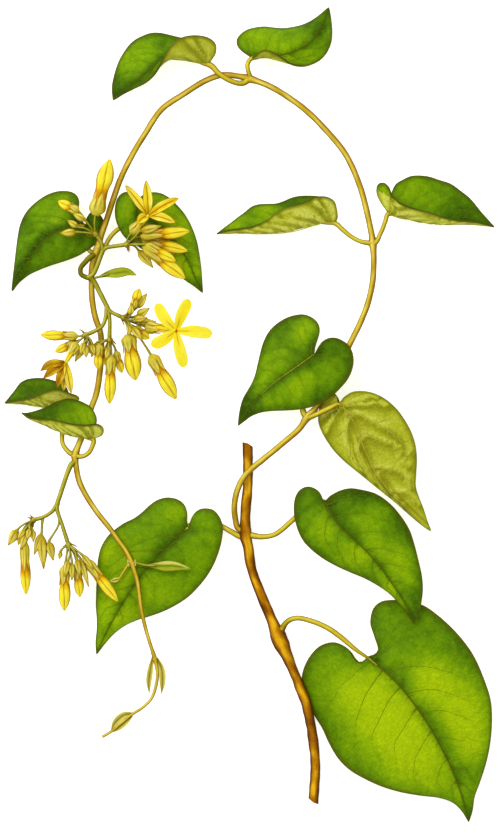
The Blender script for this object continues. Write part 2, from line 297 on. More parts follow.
# Buds of each umbel, first the grown ones and then the young: bend, base, tip, radius and, for some of the
# grown, how far their sepals reach. The last of the young are the youngest, close to the knob.
UMBELS = {
    "umbel_top": (
        buds(3, (-62.4, 74.6, 16, -65, 77.6, 16, -72.6, 81.6, 15.4, 1.9)),
        buds(3, (-62.6, 71.4, 15.4, -65.4, 71.9, 15.6, -69.4, 74.6, 15.8, 1.3), (-62.6, 69.8, 14.6, -66, 70,
             14.6, -72.2, 69.5, 14, 1.5), (-60.8, 72.4, 17, -62.6, 74.4, 17.6, -67.4, 77.2, 18.2, 1.3))),
    "umbel_upper": (
        buds(3, (-44, 67.4, 15.6, -41.6, 68.4, 16, -23.3, 70.3, 15.4, 2.3), (-44, 66.6, 14.4, -41, 67.2, 13.6,
             -24, 62.9, 12.4, 2.1), (-43.4, 65.6, 15.8, -40.4, 65, 16.6, -24.9, 52.6, 15.2, 2.6), (-43.6,
             65.2, 17.4, -39.6, 65.2, 18, -28.4, 59, 18.4, 1.9)),
        buds(3, (-44, 64.8, 14.2, -42.3, 63, 13.8, -36.9, 56.6, 12.4, 1.8), (-43.8, 68, 17.6, -41.6, 70.4,
             18.2, -33.6, 72.2, 17.6, 1.7))),
    "umbel_left": (
        buds(3, (-63.8, 30.6, 15.8, -65.4, 30.4, 16, -79.2, 31, 15.4, 1.9, 0.42), (-64, 29.4, 14.8, -65.6,
             28.6, 14.6, -73.8, 24.6, 13.8, 1.6)),
        buds(3, (-62.8, 28.6, 14.2, -63.3, 26.8, 13.8, -66.4, 20.9, 12.6, 1.5), (-62.2, 28.6, 17, -62.4, 26.8,
             17.4, -62.1, 22.5, 17.6, 1.4), (-61, 29.2, 16, -60.9, 27.6, 16, -60.6, 23.9, 15.8, 1.2), (-61.6,
             29, 17.6, -62.8, 28.2, 18.2, -64.4, 23.4, 18.2, 1.25), (-60.6, 29.4, 17.2, -59.9, 27.6, 17.4,
             -58.9, 23.2, 17, 1.05))),
    "umbel_hanging": (
        buds(3, (-55.4, 28.4, 15.4, -57, 27.4, 15.8, -57.7, 18.1, 15.2, 1.8), (-54.2, 27.6, 13.4, -54.6, 26.4,
             13.2, -54.9, 19.6, 12.4, 1.6), (-52.7, 26.2, 15.4, -52.6, 23.2, 16, -53.3, 5.1, 14.8, 2.15,
             0.42), (-51.6, 26.8, 13.8, -50.9, 24.8, 13.4, -48.6, 16.7, 12.2, 1.5)),
        buds(3, (-55.8, 28.8, 13, -58.3, 28, 12.6, -60.2, 22.6, 12.2, 1.3), (-53.6, 27.4, 16.2, -53.7, 26,
             16.8, -54.6, 21.6, 17.2, 1.1))),
    "umbel_right": (
        buds(3, (-46.6, 34.4, 15.4, -46.2, 31.2, 15.8, -43.5, 14.1, 14.6, 3.1, 0.4), (-42, 30.2, 14.6, -37.6,
             23.4, 14.4, -28.2, 6.9, 13, 2.7, 0.42), (-46.4, 39.4, 15, -44.5, 41, 15.2, -42, 48.4, 15, 1.7),
             (-46.2, 35.4, 13.8, -43.8, 34, 13.2, -38.4, 29.6, 12.4, 1.8)),
        buds(3, (-45.6, 39, 14, -43.2, 41.2, 13.6, -39.2, 46.6, 13, 1.7), (-45.4, 37.6, 15.4, -42.8, 38.2,
             15.8, -38.2, 41, 16, 1.6), (-45.6, 36.2, 14.4, -42.6, 36, 14.2, -35.7, 36, 13.6, 1.3), (-46,
             35.6, 17, -44.6, 34, 17.6, -40.8, 28.8, 18.2, 1.5), (-45.9, 37.6, 16.6, -45.4, 38.4, 17.2, -44.9,
             42.9, 17.8, 1.25), (-45.4, 36.6, 17.4, -43.9, 37, 18, -38.9, 37.4, 18.2, 1.3), (-46.2, 36, 16.8,
             -46, 34.8, 17.4, -45.6, 30.4, 17.2, 1.1))),
    "umbel_lower_left": (
        buds(3, (-84.6, -42.6, 9.8, -85.7, -47, 10, -85.1, -67.4, 8.6, 1.95, 0.62)),
        buds(3, (-86, -41, 9.2, -88.4, -43, 9, -91.8, -48.9, 8.2, 1.9), (-85.2, -41.6, 8.4, -86.6, -43.8, 8,
             -88.1, -48.8, 7.4, 1.4), (-83, -41.2, 8.6, -83.4, -42.6, 8.4, -84.2, -46.4, 8, 1.3), (-84.2, -42,
             11, -84.8, -44, 11.4, -87, -50.6, 11.6, 1.4), (-84.6, -41.8, 11.6, -85.4, -42.8, 12.2, -88.2,
             -46.6, 12.6, 1.2), (-83.4, -41.6, 11, -82.6, -43, 11.4, -82.2, -47.6, 11.2, 1.15), (-83.8, -41.4,
             12, -83.6, -42.6, 12.6, -84.6, -46.8, 13, 1.15))),
    "umbel_lower_right": (
        buds(3, (-69.6, -52.4, 11, -70.3, -56.6, 11.2, -70.5, -73.6, 10, 2.2, 0.44), (-67, -51.8, 10.2, -65.6,
             -56.4, 9.8, -64.7, -68.4, 9, 1.8), (-65.8, -50.8, 10.4, -62.2, -54.4, 10.3, -50.4, -70, 9.9, 2.1,
             0.46)),
        buds(3, (-66.6, -51, 11.4, -64.4, -54, 11.8, -61.3, -64.6, 11.4, 1.2), (-71.2, -50.2, 10.2, -72,
             -51.4, 10, -72.4, -54.2, 9.6, 0.9), (-68, -52.4, 12.4, -67.6, -55.6, 12.8, -67.6, -62.2, 12.8,
             1.3), (-68.4, -52, 12.8, -69, -54.6, 13.4, -70.2, -60.8, 13.6, 1.25), (-66.4, -51.6, 12.4, -65.8,
             -54, 12.8, -64.6, -60.6, 12.8, 1.25), (-65.6, -51, 12.2, -63.6, -52.6, 12.6, -59.4, -58, 12.6,
             1.2))),
}
# Flowers that stand apart from their umbel: bend, base and throat, length and radius of the calyx, the way the
# mouth faces, the width of a petal, and the middle and tip of each petal
FLOWERS = {
    "open_flower": {
        "umbel": "umbel_right", "bend": [-43.6, 35.4, 13.6], "base": [-39.6, 34.2, 13.8], "throat": [-28,
        32.4, 20.4],
        "calyx": (7, 2.5), "face": [0.3, -0.05, 0.95], "width": 4.5,
        "petals": xyz(-32.6, 37.6, 21.8, -35.2, 42.9, 20.4, -26, 38.4, 21.8, -23, 44.4, 20.8, -21, 32.2, 21.6,
            -14.2, 31.2, 20.2, -26.6, 25.4, 21.6, -24.9, 18.6, 20.4, -33.2, 28.8, 21.8, -37.4, 26.9, 21.4),
    },
    "half_open_flower": {
        "umbel": "umbel_upper", "bend": [-46.4, 67.6, 15], "base": [-45, 69.6, 15.4], "throat": [-38.4, 76.4,
        19],
        "calyx": (6.4, 2.4), "face": [0.2, 0.25, 0.94], "width": 3.7,
        "petals": xyz(-42.6, 82, 19.8, -47.2, 87.6, 18.4, -38.7, 82.6, 20.4, -39.4, 89.6, 19.4, -33, 80, 20.4,
            -27, 82.8, 19.2, -33.4, 75.6, 20.4, -28.2, 73.6, 19.4, -40.6, 75.4, 21.4, -42.7, 73.2, 21.6),
    },
    "withered_flower": {
        "umbel": "umbel_left", "bend": [-64.4, 29, 16.6], "base": [-65.6, 27.9, 17], "throat": [-70, 20.4,
        18.2],
        "calyx": (5.2, 2.2), "face": [0.1, 0.2, 0.97], "width": 3.1,
        "petals": xyz(-75.2, 20, 17.8, -79.7, 17.3, 16.4, -74.6, 17.6, 18.6, -78.6, 14.4, 17.6, -72, 15, 19,
            -73.2, 10.7, 18.4, -68.8, 14.6, 18.4, -67.8, 8.8, 17, -70.4, 14.8, 17.4, -70.7, 9.6, 16.4),
    },
}
LARGEST_BUD = {
    "umbel": "umbel_top", "bend": [-59, 72.8, 15.6], "base": [-58.7, 76.2, 16], "throat": [-53.3, 97.3, 15.6],
    "calyx": (9.4, 3.2),
}
BUD_RADIUS = 3.1


# Lines and values

def value_at(values, share):
    """A list of values spread evenly over 0 to 1, with a smooth run between them."""
    v = np.asarray(values, float)
    place = np.clip(share, 0, 1) * (len(v) - 1)
    i = np.minimum(np.floor(place).astype(int), max(len(v) - 2, 0))
    t = place - i
    near, far = v[i], v[np.minimum(i + 1, len(v) - 1)]
    m0 = (far - v[np.maximum(i - 1, 0)]) / 2
    m1 = (v[np.minimum(i + 2, len(v) - 1)] - near) / 2
    return (2 * near - 2 * far + m0 + m1) * t**3 + (3 * far - 3 * near - 2 * m0 - m1) * t**2 + m0 * t + near


def smooth(low, high, value):
    t = np.clip((np.asarray(value, float) - low) / (high - low), 0, 1)
    return t * t * (3 - 2 * t)


def hill(value, width):
    """One at zero, falling off softly on both sides."""
    return np.exp(-(value / width) ** 2)


def unit(v):
    v = np.asarray(v, float)
    return v / np.maximum(np.linalg.norm(v, axis=-1, keepdims=True), 1e-9)


def between(a, b, share):
    a, b = np.array(a, float), np.array(b, float)
    return a + (b - a) * share


class Curve:
    """A centripetal Catmull-Rom line, read by its share of length."""

    parts = 24

    def __init__(self, points):
        p = np.array([(*q, 0)[:3] for q in points], float)
        ends = [2 * p[0] - p[1], *p, 2 * p[-1] - p[-2]]
        t = np.linspace(0, 1, self.parts, endpoint=False)[:, None]
        dense = []
        for i in range(len(p) - 1):
            x0, x1, x2, x3 = ends[i:i + 4]
            d0, d1, d2 = (max(np.linalg.norm(b - a), 1e-6) ** 0.5 for a, b in ((x0, x1), (x1, x2), (x2, x3)))
            t1 = ((x1 - x0) / d0 - (x2 - x0) / (d0 + d1) + (x2 - x1) / d1) * d1
            t2 = ((x2 - x1) / d1 - (x3 - x1) / (d1 + d2) + (x3 - x2) / d2) * d1
            dense.append(x1 + t1 * t + (3 * x2 - 3 * x1 - 2 * t1 - t2) * t**2
                         + (2 * x1 - 2 * x2 + t1 + t2) * t**3)
        self.points = np.vstack([*dense, p[-1:]])
        steps = np.linalg.norm(np.diff(self.points, axis=0), axis=1)
        self.run = np.concatenate([[0], np.cumsum(steps)])
        self.length = self.run[-1]

    def at(self, share):
        place = np.clip(share, 0, 1) * self.length
        return np.stack([np.interp(place, self.run, self.points[:, k]) for k in range(3)], axis=-1)


class RisingCurve:
    """A plan outline whose heights are spread evenly over its length."""

    def __init__(self, plan, heights):
        self.plan = Curve(plan)
        self.heights = heights

    def at(self, share):
        point = self.plan.at(share)
        point[..., 2] = value_at(self.heights, share)
        return point


# Gathering meshes

class Piece:
    """One mesh object: points in millimetres, faces by material, and values for the materials."""

    def __init__(self, node):
        self.node = node
        self.points, self.faces, self.slots, self.values, self.flow = [], [], [], [], []
        self.count = 0
        self.materials = []

    def add(self, points, faces, material, light=0.5, rim=0.0, line=0.0, flow=None):
        points = np.asarray(points, float)
        if material not in self.materials:
            self.materials.append(material)
        spread = [np.broadcast_to(np.asarray(v, float), len(points)) for v in (light, rim, line)]
        self.points.append(points)
        self.values.append(np.stack(spread, axis=1))
        self.flow.append(points if flow is None else np.asarray(flow, float))
        self.faces += [[int(i) + self.count for i in face] for face in faces]
        self.slots += [self.materials.index(material)] * len(faces)
        self.count += len(points)

    def finish(self, name, slot):
        points = np.vstack(self.points) * MM
        points[:, 2] = np.maximum(points[:, 2], 0)
        mesh = bpy.data.meshes.new(name)
        mesh.from_pydata(points.tolist(), [], self.faces)
        for material in self.materials:
            mesh.materials.append(material)
        mesh.polygons.foreach_set("material_index", self.slots)
        mesh.polygons.foreach_set("use_smooth", [True] * len(self.faces))
        values = np.vstack(self.values).astype(np.float32)
        for k, title in enumerate(("light", "rim", "line")):
            mesh.attributes.new(title, "FLOAT", "POINT").data.foreach_set(
                "value", np.ascontiguousarray(values[:, k]))
        layer = mesh.attributes.new("flow", "FLOAT_VECTOR", "POINT")
        layer.data.foreach_set("vector", np.vstack(self.flow).astype(np.float32).ravel())
        mesh.validate()
        mesh.update()
        thing = linked(name, mesh)
        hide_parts(self.node)
        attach(thing, "root")


def linked(name, data):
    """A new object of the scene."""
    thing = bpy.data.objects.new(name, data)
    bpy.context.scene.collection.objects.link(thing)
    return thing


def grid_faces(rows, columns, closed=False):
    """Quads of a grid of points, its rows one after another."""
    faces = []
    for i in range(rows - 1):
        for j in range(columns if closed else columns - 1):
            k = (j + 1) % columns
            faces.append((i * columns + j, i * columns + k, (i + 1) * columns + k, (i + 1) * columns + j))
    return faces


def round_faces(rows, sides):
    """Quads of a grid that closes round, and a fan at each end to a point that follows the grid."""
    faces = grid_faces(rows, sides, closed=True)
    n = rows * sides
    for j in range(sides):
        k = (j + 1) % sides
        faces += [(n, k, j), (n + 1, n - sides + j, n - sides + k)]
    return faces


def turn_of(sides):
    """Angles all the way round."""
    return np.arange(sides) / sides * 2 * math.pi


def axes_of(base, end):
    """The direction of a straight axis and two directions across it."""
    axis = unit(end - base)
    side = unit(np.cross([0, 0, 1], axis))
    return axis, side, np.cross(axis, side)


def round_flow(along, angle):
    """Flow of a round surface: how far along it, and the direction round it."""
    return np.stack(np.broadcast_arrays(along, np.cos(angle), np.sin(angle)), axis=-1)


# Stems, blades, buds and calyces

# The side from which stems and buds are light, as a direction
LIT = unit([-0.45, 0.5, 0.74])
# Over how many rings a slanting cut of a stem's end is spread
CUT_RINGS = 8
# Waves that make a stem uneven and waves that make it blotched
BUMPS, BLOTCHES = 7, 9
# The folds of a bud, the petals of a flower and the sepals of a calyx
FIVE = 5
SEPAL_THICK, SEPAL_ROWS = 0.26, 13


def rings(curve, share):
    """Centres along a line with two directions across it that don't twist."""
    centre = curve.at(share)
    tangent = unit(np.gradient(centre, axis=0))
    side = np.zeros_like(centre)
    start = np.cross(tangent[0], [0, 0, 1])
    side[0] = unit(start if np.linalg.norm(start) > 1e-3 else [1, 0, 0])
    for i in range(1, len(centre)):
        side[i] = unit(side[i - 1] - tangent[i] * np.dot(side[i - 1], tangent[i]))
    return centre, tangent, side, np.cross(tangent, side)


def tube(piece, points, radii, material, sides=12, step=0.5, rough=0.0, seed=0, flutes=0, flute=0.0,
         ends=(0.0, 0.0), edge=1.0, blotch=0.0, shade=(0, 0), gleam=0.0, arch=None):
    """A round stem. Its surface may be uneven or fluted, each end may be cut at a slant, and it may be
    brown on the side that looks away from the middle of an arch."""
    curve = points if isinstance(points, Curve) else Curve(points)
    count = max(4, int(round(curve.length / step)))
    share = np.linspace(0, 1, count + 1)
    along = share[:, None] * curve.length
    centre, tangent, side, other = rings(curve, share)
    angle = turn_of(sides)
    radius = value_at(radii, share)[:, None] * (1 + flute * np.cos(flutes * angle))[None, :]
    if rough:
        chance = np.random.default_rng(seed)
        bumps = sum(
            chance.uniform(0.4, 1) * np.sin(
                along * chance.uniform(0.2, 1.5) + chance.integers(1, 5) * angle[None, :]
                + chance.uniform(0, 6))
            for _ in range(BUMPS)
        )
        radius = radius * (1 + rough * bumps / 3)
    out = np.cos(angle)[None, :, None] * side[:, None, :] + np.sin(angle)[None, :, None] * other[:, None, :]
    surface = centre[:, None, :] + out * radius[:, :, None]
    for row, way, slant in ((0, 1, ends[0]), (-1, -1, ends[1])):
        for inner in range(CUT_RINGS if slant else 0):
            k = row + way * inner
            off = (out[k] * radius[k][:, None])[:, 0]
            surface[k] += tangent[k] * (off * slant * (1 - inner / CUT_RINGS))[:, None]
    light = 0.46 + 0.5 * (out @ LIT) + gleam * (np.abs(out[:, :, 2]) - 0.95) + value_at(shade, share)[:, None]
    if blotch:
        chance = np.random.default_rng(seed + 50)
        for _ in range(BLOTCHES):
            wave = np.sin(along / chance.uniform(1.0, 6) + np.sin(angle + chance.uniform(0, 6))[None, :] * 2.6
                          + chance.uniform(0, 6))
            light = light + blotch * wave / 3
    away = np.clip(-(out @ LIT), 0, 1)
    rim = edge * (1 - smooth(0.42, 0.92, np.abs(out[:, :, 2]))) * (0.75 + 0.5 * away)
    brown = np.zeros_like(light)
    if arch is not None:
        outward = centre - np.array([*arch, 0.0])
        outward[:, 2] = 0
        brown = smooth(-0.1, 0.62, np.einsum("rsi,ri->rs", out, unit(outward)))
        brown = brown * (0.78 + 0.22 * np.sin(share * curve.length / 9 + 1.2))[:, None]
    caps = [centre[0] - tangent[0] * radius[0].mean() * 0.25,
            centre[-1] + tangent[-1] * radius[-1].mean() * 0.25]
    piece.add(np.vstack([surface.reshape(-1, 3), caps]), round_faces(count + 1, sides), material,
              light=np.append(light, [0.5, 0.5]), rim=np.append(rim, [0, 0]), line=np.append(brown, [0, 0]),
              flow=np.vstack([round_flow(along, angle).reshape(-1, 3), [[0, 0, 0], [curve.length, 0, 0]]]))


def blade(piece, spine, widths, material, rows, tip, columns=9, up=(0, 0, 1), channel=0.3, thickness=0.45,
          wave=0.0, seed=0, line_width=0.28, line_end=0.9, rim_width=0.45, stripes=0.0, lean=0.0,
          capped=True):
    """A narrow blade, petal or scale: two faces carried along a line, rounded over the last share of it (tip).
    It may be lighter on one side of its middle (lean) and have a line down each half (stripes)."""
    curve = Curve(spine)
    t = np.linspace(0, 1, rows + 1)
    centre = curve.at(t)
    tangent = unit(np.gradient(centre, axis=0))
    side = unit(np.cross(np.broadcast_to(np.asarray(up, float), tangent.shape), tangent))
    normal = unit(np.cross(tangent, side))
    half_width = value_at(widths, t) / 2 * np.sqrt(np.clip(1 - np.clip((t - 1 + tip) / tip, 0, 1) ** 2, 0, 1))
    half_width = np.maximum(half_width, 0.02)[:, None]
    phase = np.random.default_rng(seed).uniform(0, 6, 2)
    w = -np.cos(np.linspace(0, math.pi, columns))
    ripple = wave * np.sin(t[:, None] * 9 + phase[0] + w * 1.5) * np.abs(w) ** 2
    dip = channel * np.minimum(half_width, 1) * (1 - w**2)
    thick = thickness / 2 * np.sqrt(np.clip(1 - w**4, 0, 1)) * np.minimum(1, half_width / 0.5)
    middle = centre[:, None, :] + side[:, None, :] * (half_width * w)[:, :, None]
    top = middle + normal[:, None, :] * (ripple - dip + thick)[:, :, None]
    low = middle + normal[:, None, :] * (ripple - dip - thick)[:, :, None]
    away = np.abs(w) * half_width
    line = hill(away, line_width) * (1 - smooth(line_end - 0.25, line_end, t))[:, None]
    line = np.maximum(line, stripes * hill(away - 0.5 * half_width, 0.22))
    rim = smooth(rim_width, 0.05, half_width - away)
    light = np.clip(0.5 + 0.35 * np.abs(w) + 0.15 * np.sin(w * 2 + phase[1]), 0, 1)
    light = light * (0.7 + 0.3 * smooth(0, 0.35, t))[:, None]
    if lean:
        light = np.clip(light - 0.12 + lean * smooth(0.15, 0.7, w), 0, 1)
    flow = np.stack(np.broadcast_arrays(t[:, None] * curve.length, w * 1.2, 0.0), axis=-1)
    n = (rows + 1) * columns
    faces = grid_faces(rows + 1, columns)
    faces += [tuple(n + i for i in reversed(face)) for face in faces]
    if capped:
        faces.append(tuple(range(columns - 1, -1, -1)) + tuple(range(n, n + columns)))
    piece.add(np.vstack([top.reshape(-1, 3), low.reshape(-1, 3)]), faces, material,
              light=np.tile(light.ravel(), 2), rim=np.tile(rim.ravel(), 2), line=np.tile(line.ravel(), 2),
              flow=np.tile(flow.reshape(-1, 3), (2, 1)))


def turned(piece, base, end, heights, radii, material, light, ridge, sides=40, twist=0.0, line_width=0.16):
    """A shape turned round a straight axis, with five ridges that may twist round it."""
    base = np.asarray(base, float)
    axis, side, other = axes_of(base, np.asarray(end, float))
    angle = turn_of(sides)
    share = ((heights - heights[0]) / (heights[-1] - heights[0]))[:, None]
    groove = np.abs(np.cos(FIVE * (angle + twist * share) / 2))
    radius = np.asarray(radii)[:, None] * (1 + ridge * (groove - 0.6))
    out = np.cos(angle)[:, None] * side + np.sin(angle)[:, None] * other
    centre = base + axis * heights[:, None]
    surface = centre[:, None, :] + out * radius[:, :, None]
    line = hill(groove / line_width, 1.6)
    shade = 0.5 + 0.5 * (out @ LIT)
    glow = np.clip(np.asarray(light)[:, None] + 0.35 * (shade - 0.5), 0, 1)
    dark = np.broadcast_to(1 - smooth(0.05, 0.5, np.abs(out[:, 2])), glow.shape)
    flow = round_flow(heights[:, None], angle + twist * share)
    points = np.vstack([surface.reshape(-1, 3), centre[0], centre[-1] + axis * radii[-1] * 0.6])
    piece.add(points, round_faces(len(heights), sides), material,
              light=np.append(glow, [glow[0, 0], glow[-1, 0]]), rim=np.append(dark, [0, 0]),
              line=np.append(line, [0, 0]),
              flow=np.vstack([flow.reshape(-1, 3), [[heights[0], 0, 0], [heights[-1], 0, 0]]]))


def calyx(piece, base, end, length, radius, open_out, sides=40, tip=0.84):
    """Five pointed sepals on a cup, each with a raised middle and thin edges."""
    base = np.asarray(base, float)
    axis, side, other = axes_of(base, np.asarray(end, float))
    angle = turn_of(sides)
    off = np.abs((angle * FIVE / (2 * math.pi)) % 1 - 0.5) * 2
    v = np.linspace(0, 1, SEPAL_ROWS)[:, None]
    height = v * (length * (0.5 + 0.5 * (1 - off**1.25)))
    place = height / length
    profile = radius * value_at([0.42, 0.93, 1.0, 0.6 * tip + 0.4, 0.8 * tip + 0.18, tip], place)
    free = smooth(0.45, 1, place) * (1 - off) * open_out
    body = profile + free + 0.1 * (1 - off) * smooth(0.1, 0.4, place)
    out = np.cos(angle)[:, None] * side + np.sin(angle)[:, None] * other
    centre = base + axis * height[:, :, None]
    outer, inner = (centre + out * wide[:, :, None] for wide in (body, body - SEPAL_THICK))
    points = np.vstack([outer.reshape(-1, 3), inner[::-1].reshape(-1, 3), base, base + axis * 0.2])
    light = (0.56 + 0.42 * (out @ LIT)) * (0.75 + 0.4 * place) - 0.25 * smooth(0.8, 1.0, place)
    groove = np.exp(-(off - 1) ** 2 / 0.025) * smooth(0.1, 0.4, place)
    middle = hill(off, 0.15) * smooth(0.1, 0.5, v) * 0.6
    rim = (1 - smooth(0.05, 0.45, np.abs(out[:, 2]))) * (1 - smooth(0.86, 1.0, place))
    flow = round_flow(height, angle)

    def two_faces(values):
        return np.append(np.vstack([values, values[::-1]]), [0.4, 0.4])

    piece.add(points, round_faces(2 * SEPAL_ROWS, sides), CALYX, light=two_faces(np.clip(light, 0, 1)),
              rim=two_faces(rim), line=two_faces(np.clip(groove + middle, 0, 1)),
              flow=np.vstack([flow.reshape(-1, 3), flow[::-1].reshape(-1, 3), [[0, 0, 0]] * 2]))


# Materials

# Scales of the fine grain and of the net between veins, in cells per metre, and the depth of relief in metres
GRAIN, NET, RELIEF = 1500, 620, 0.00025
NET_COLOUR = (0.55, 0.62, 0.3, 1)


def srgb(r, g, b):
    return tuple((c / 255 / 12.92) if c / 255 <= 0.04045 else ((c / 255 + 0.055) / 1.055) ** 2.4
                 for c in (r, g, b)) + (1.0,)


def surface(name, stops, rim, line=None, rough=(0.45, 0.6), patch=0.25, patch_scale=260, hatch=0.35,
            hatch_scale=(0.35, 9.0), hatch_dark=0.78, bump=0.25, specular=0.05, net=0.0):
    """A plant surface. Its colour runs from dark to light over the stops (place, red, green, blue), by the
    value kept on its points and by soft noise. It has fine streaks along its flow, and another colour with
    its strength at the rim and on the lines (red, green, blue, strength)."""
    material = bpy.data.materials.new(name)
    material.use_nodes = True
    nodes, links = material.node_tree.nodes, material.node_tree.links
    nodes.clear()

    def node(kind, given, **settings):
        """A new node with its settings, and a value or a link for each socket that is given."""
        made = nodes.new("ShaderNode" + kind)
        for key, setting in settings.items():
            setattr(made, key, setting)
        for socket, value in given.items():
            if isinstance(value, bpy.types.NodeSocket):
                links.new(value, made.inputs[socket])
            else:
                made.inputs[socket].default_value = value
        return made

    def kept(title, output="Fac"):
        return node("Attribute", {}, attribute_name=title).outputs[output]

    def noise(vector, scale, detail, roughness):
        given = {"Vector": vector, "Scale": scale, "Detail": detail, "Roughness": roughness}
        return node("TexNoise", given).outputs["Fac"]

    def sums(kind, *given, clamp=False):
        return node("Math", dict(enumerate(given)), operation=kind, use_clamp=clamp).outputs[0]

    def blend(kind, factor, a, b):
        return node("Mix", {0: factor, 6: a, 7: b}, data_type="RGBA", blend_type=kind).outputs[2]

    place = nodes.new("ShaderNodeTexCoord").outputs["Object"]
    soft = noise(place, patch_scale, 4.0, 0.6)
    flow = node("Mapping", {"Vector": kept("flow", "Vector"), "Scale": (*hatch_scale, hatch_scale[1])})
    streak = noise(flow.outputs["Vector"], 1.0, 5.0, 0.65)
    light = sums("MULTIPLY_ADD", sums("SUBTRACT", soft, 0.5), 2 * patch, kept("light"))
    ramp = node("ValToRGB", {"Fac": light})
    for k, (where, *colour) in enumerate(stops):
        element = ramp.color_ramp.elements[k] if k < 2 else ramp.color_ramp.elements.new(where)
        element.position = where
        element.color = srgb(*colour)
    streaks = node("MapRange", {"Value": streak, "From Min": 0.36, "From Max": 0.62, "To Min": hatch_dark,
                                "To Max": 1.08}).outputs[0]
    shade = node("CombineColor", {0: streaks, 1: streaks, 2: streaks}).outputs[0]
    colour = blend("MULTIPLY", hatch, ramp.outputs["Color"], shade)
    if net:
        cells = node("TexVoronoi", {"Vector": place, "Scale": NET}, feature="DISTANCE_TO_EDGE")
        strand = node("MapRange", {"Value": cells.outputs["Distance"], "From Max": 0.16, "To Min": net,
                                   "To Max": 0.0}).outputs[0]
        colour = blend("MULTIPLY", strand, colour, NET_COLOUR)
    for title, drawn in (("rim", rim), ("line", line)):
        if drawn:
            factor = sums("MULTIPLY", kept(title), drawn[3], clamp=True)
            colour = blend("MIX", factor, colour, srgb(*drawn[:3]))
    gloss = node("MapRange", {"Value": soft, "To Min": rough[0], "To Max": rough[1]}).outputs[0]
    fine = noise(place, GRAIN, 3.0, 0.55)
    height = sums("ADD", sums("MULTIPLY", streak, 0.7), sums("MULTIPLY", fine, 0.5))
    relief = node("Bump", {"Height": height, "Strength": bump, "Distance": RELIEF}).outputs["Normal"]
    shader = node("BsdfPrincipled", {"Base Color": colour, "Roughness": gloss, "Normal": relief,
                                     "Specular IOR Level": specular})
    node("OutputMaterial", {"Surface": shader.outputs["BSDF"]})
    return material


LEAF = surface(
    "leaf_upper",
    [(0, 50, 80, 2), (0.25, 80, 120, 2), (0.5, 112, 154, 2), (0.75, 142, 179, 2), (1, 174, 202, 4)],
    (86, 82, 8, 0.9), (66, 84, 3, 0.8), patch=0.26, patch_scale=380, hatch=0.7, hatch_scale=(0.34, 2.6),
    hatch_dark=0.74, specular=0.04, net=0.35)
UNDER = surface(
    "leaf_underside", [(0, 112, 114, 10), (0.35, 150, 154, 18), (0.7, 186, 192, 42), (1, 218, 220, 88)],
    (112, 108, 14, 0.85), (116, 112, 8, 0.7), patch=0.18, hatch=0.6, hatch_scale=(0.35, 2.4), hatch_dark=0.76,
    rough=(0.55, 0.72), net=0.4)
VEIN = surface("leaf_vein", [(0, 80, 94, 2), (1, 122, 132, 8)], (76, 86, 2, 0.4))
PALE_VEIN = surface("leaf_vein_pale", [(0, 158, 158, 20), (1, 216, 218, 86)], (112, 104, 8, 0.95))
MIDRIB = surface("leaf_midrib", [(0, 72, 76, 2), (1, 112, 116, 8)], (54, 62, 2, 0.9))
PALE_MIDRIB = surface("leaf_midrib_pale", [(0, 128, 132, 12), (1, 190, 188, 52)], (62, 72, 4, 0.95))
UNDER_RIB = surface("leaf_midrib_under", [(0, 122, 110, 8), (0.6, 160, 150, 24), (1, 206, 204, 84)],
                    (112, 96, 6, 0.95))
STEM = dict(hatch=0.4, hatch_scale=(0.18, 3.0), specular=0.06)
PETIOLE = surface(
    "petiole", [(0, 100, 82, 2), (0.45, 166, 142, 14), (0.75, 212, 190, 38), (1, 248, 234, 96)],
    (96, 78, 4, 0.95), patch=0.14, **STEM)
STALK = surface(
    "flower_stalk", [(0, 88, 66, 0), (0.45, 118, 114, 6), (0.75, 156, 150, 20), (1, 212, 204, 84)],
    (80, 68, 2, 0.95), patch=0.15, **STEM)
SHOOT = surface(
    "twining_shoot", [(0, 96, 70, 2), (0.45, 156, 132, 10), (0.75, 212, 184, 38), (1, 244, 224, 92)],
    (110, 80, 6, 0.9), (156, 94, 22, 0.72), patch=0.2, patch_scale=150, hatch=0.6, hatch_scale=(0.16, 3.0),
    hatch_dark=0.66, rough=(0.5, 0.7), specular=0.06)
BARK = surface(
    "old_bark", [(0, 88, 44, 0), (0.4, 146, 86, 0), (0.7, 190, 126, 0), (1, 240, 184, 22)],
    (86, 46, 0, 0.95), patch=0.5, patch_scale=130, hatch=0.75, hatch_scale=(0.12, 2.6), hatch_dark=0.62,
    rough=(0.6, 0.85), bump=0.5, specular=0.06)
BUD = dict(patch=0.28, patch_scale=500, hatch=0.8, hatch_dark=0.58, hatch_scale=(0.22, 6.5), specular=0.06)
CALYX = surface(
    "calyx", [(0, 118, 92, 4), (0.35, 186, 160, 14), (0.65, 224, 206, 54), (1, 246, 236, 104)],
    (136, 92, 2, 0.95), (120, 76, 0, 0.95), **BUD)
BUD_TIP = surface(
    "young_bud", [(0, 124, 92, 2), (0.4, 180, 150, 12), (0.7, 214, 190, 40), (1, 240, 224, 88)],
    (128, 86, 0, 0.95), (118, 74, 0, 0.92), **BUD)
COROLLA = surface(
    "bud_corolla", [(0, 140, 74, 0), (0.3, 200, 134, 0), (0.6, 240, 198, 2), (1, 253, 234, 52)],
    (168, 104, 0, 0.9), (136, 78, 0, 0.92), patch=0.26, patch_scale=450, hatch=0.6, hatch_dark=0.7,
    hatch_scale=(0.2, 5.0), specular=0.06)
PETAL = surface(
    "petal", [(0, 226, 182, 0), (0.35, 250, 224, 6), (1, 255, 246, 74)],
    (240, 214, 36, 0.6), (190, 130, 4, 0.8), patch=0.2, patch_scale=500, hatch=0.4, hatch_scale=(0.3, 3.0))
OLD = dict(patch_scale=450, hatch=0.6, hatch_scale=(0.3, 3.0))
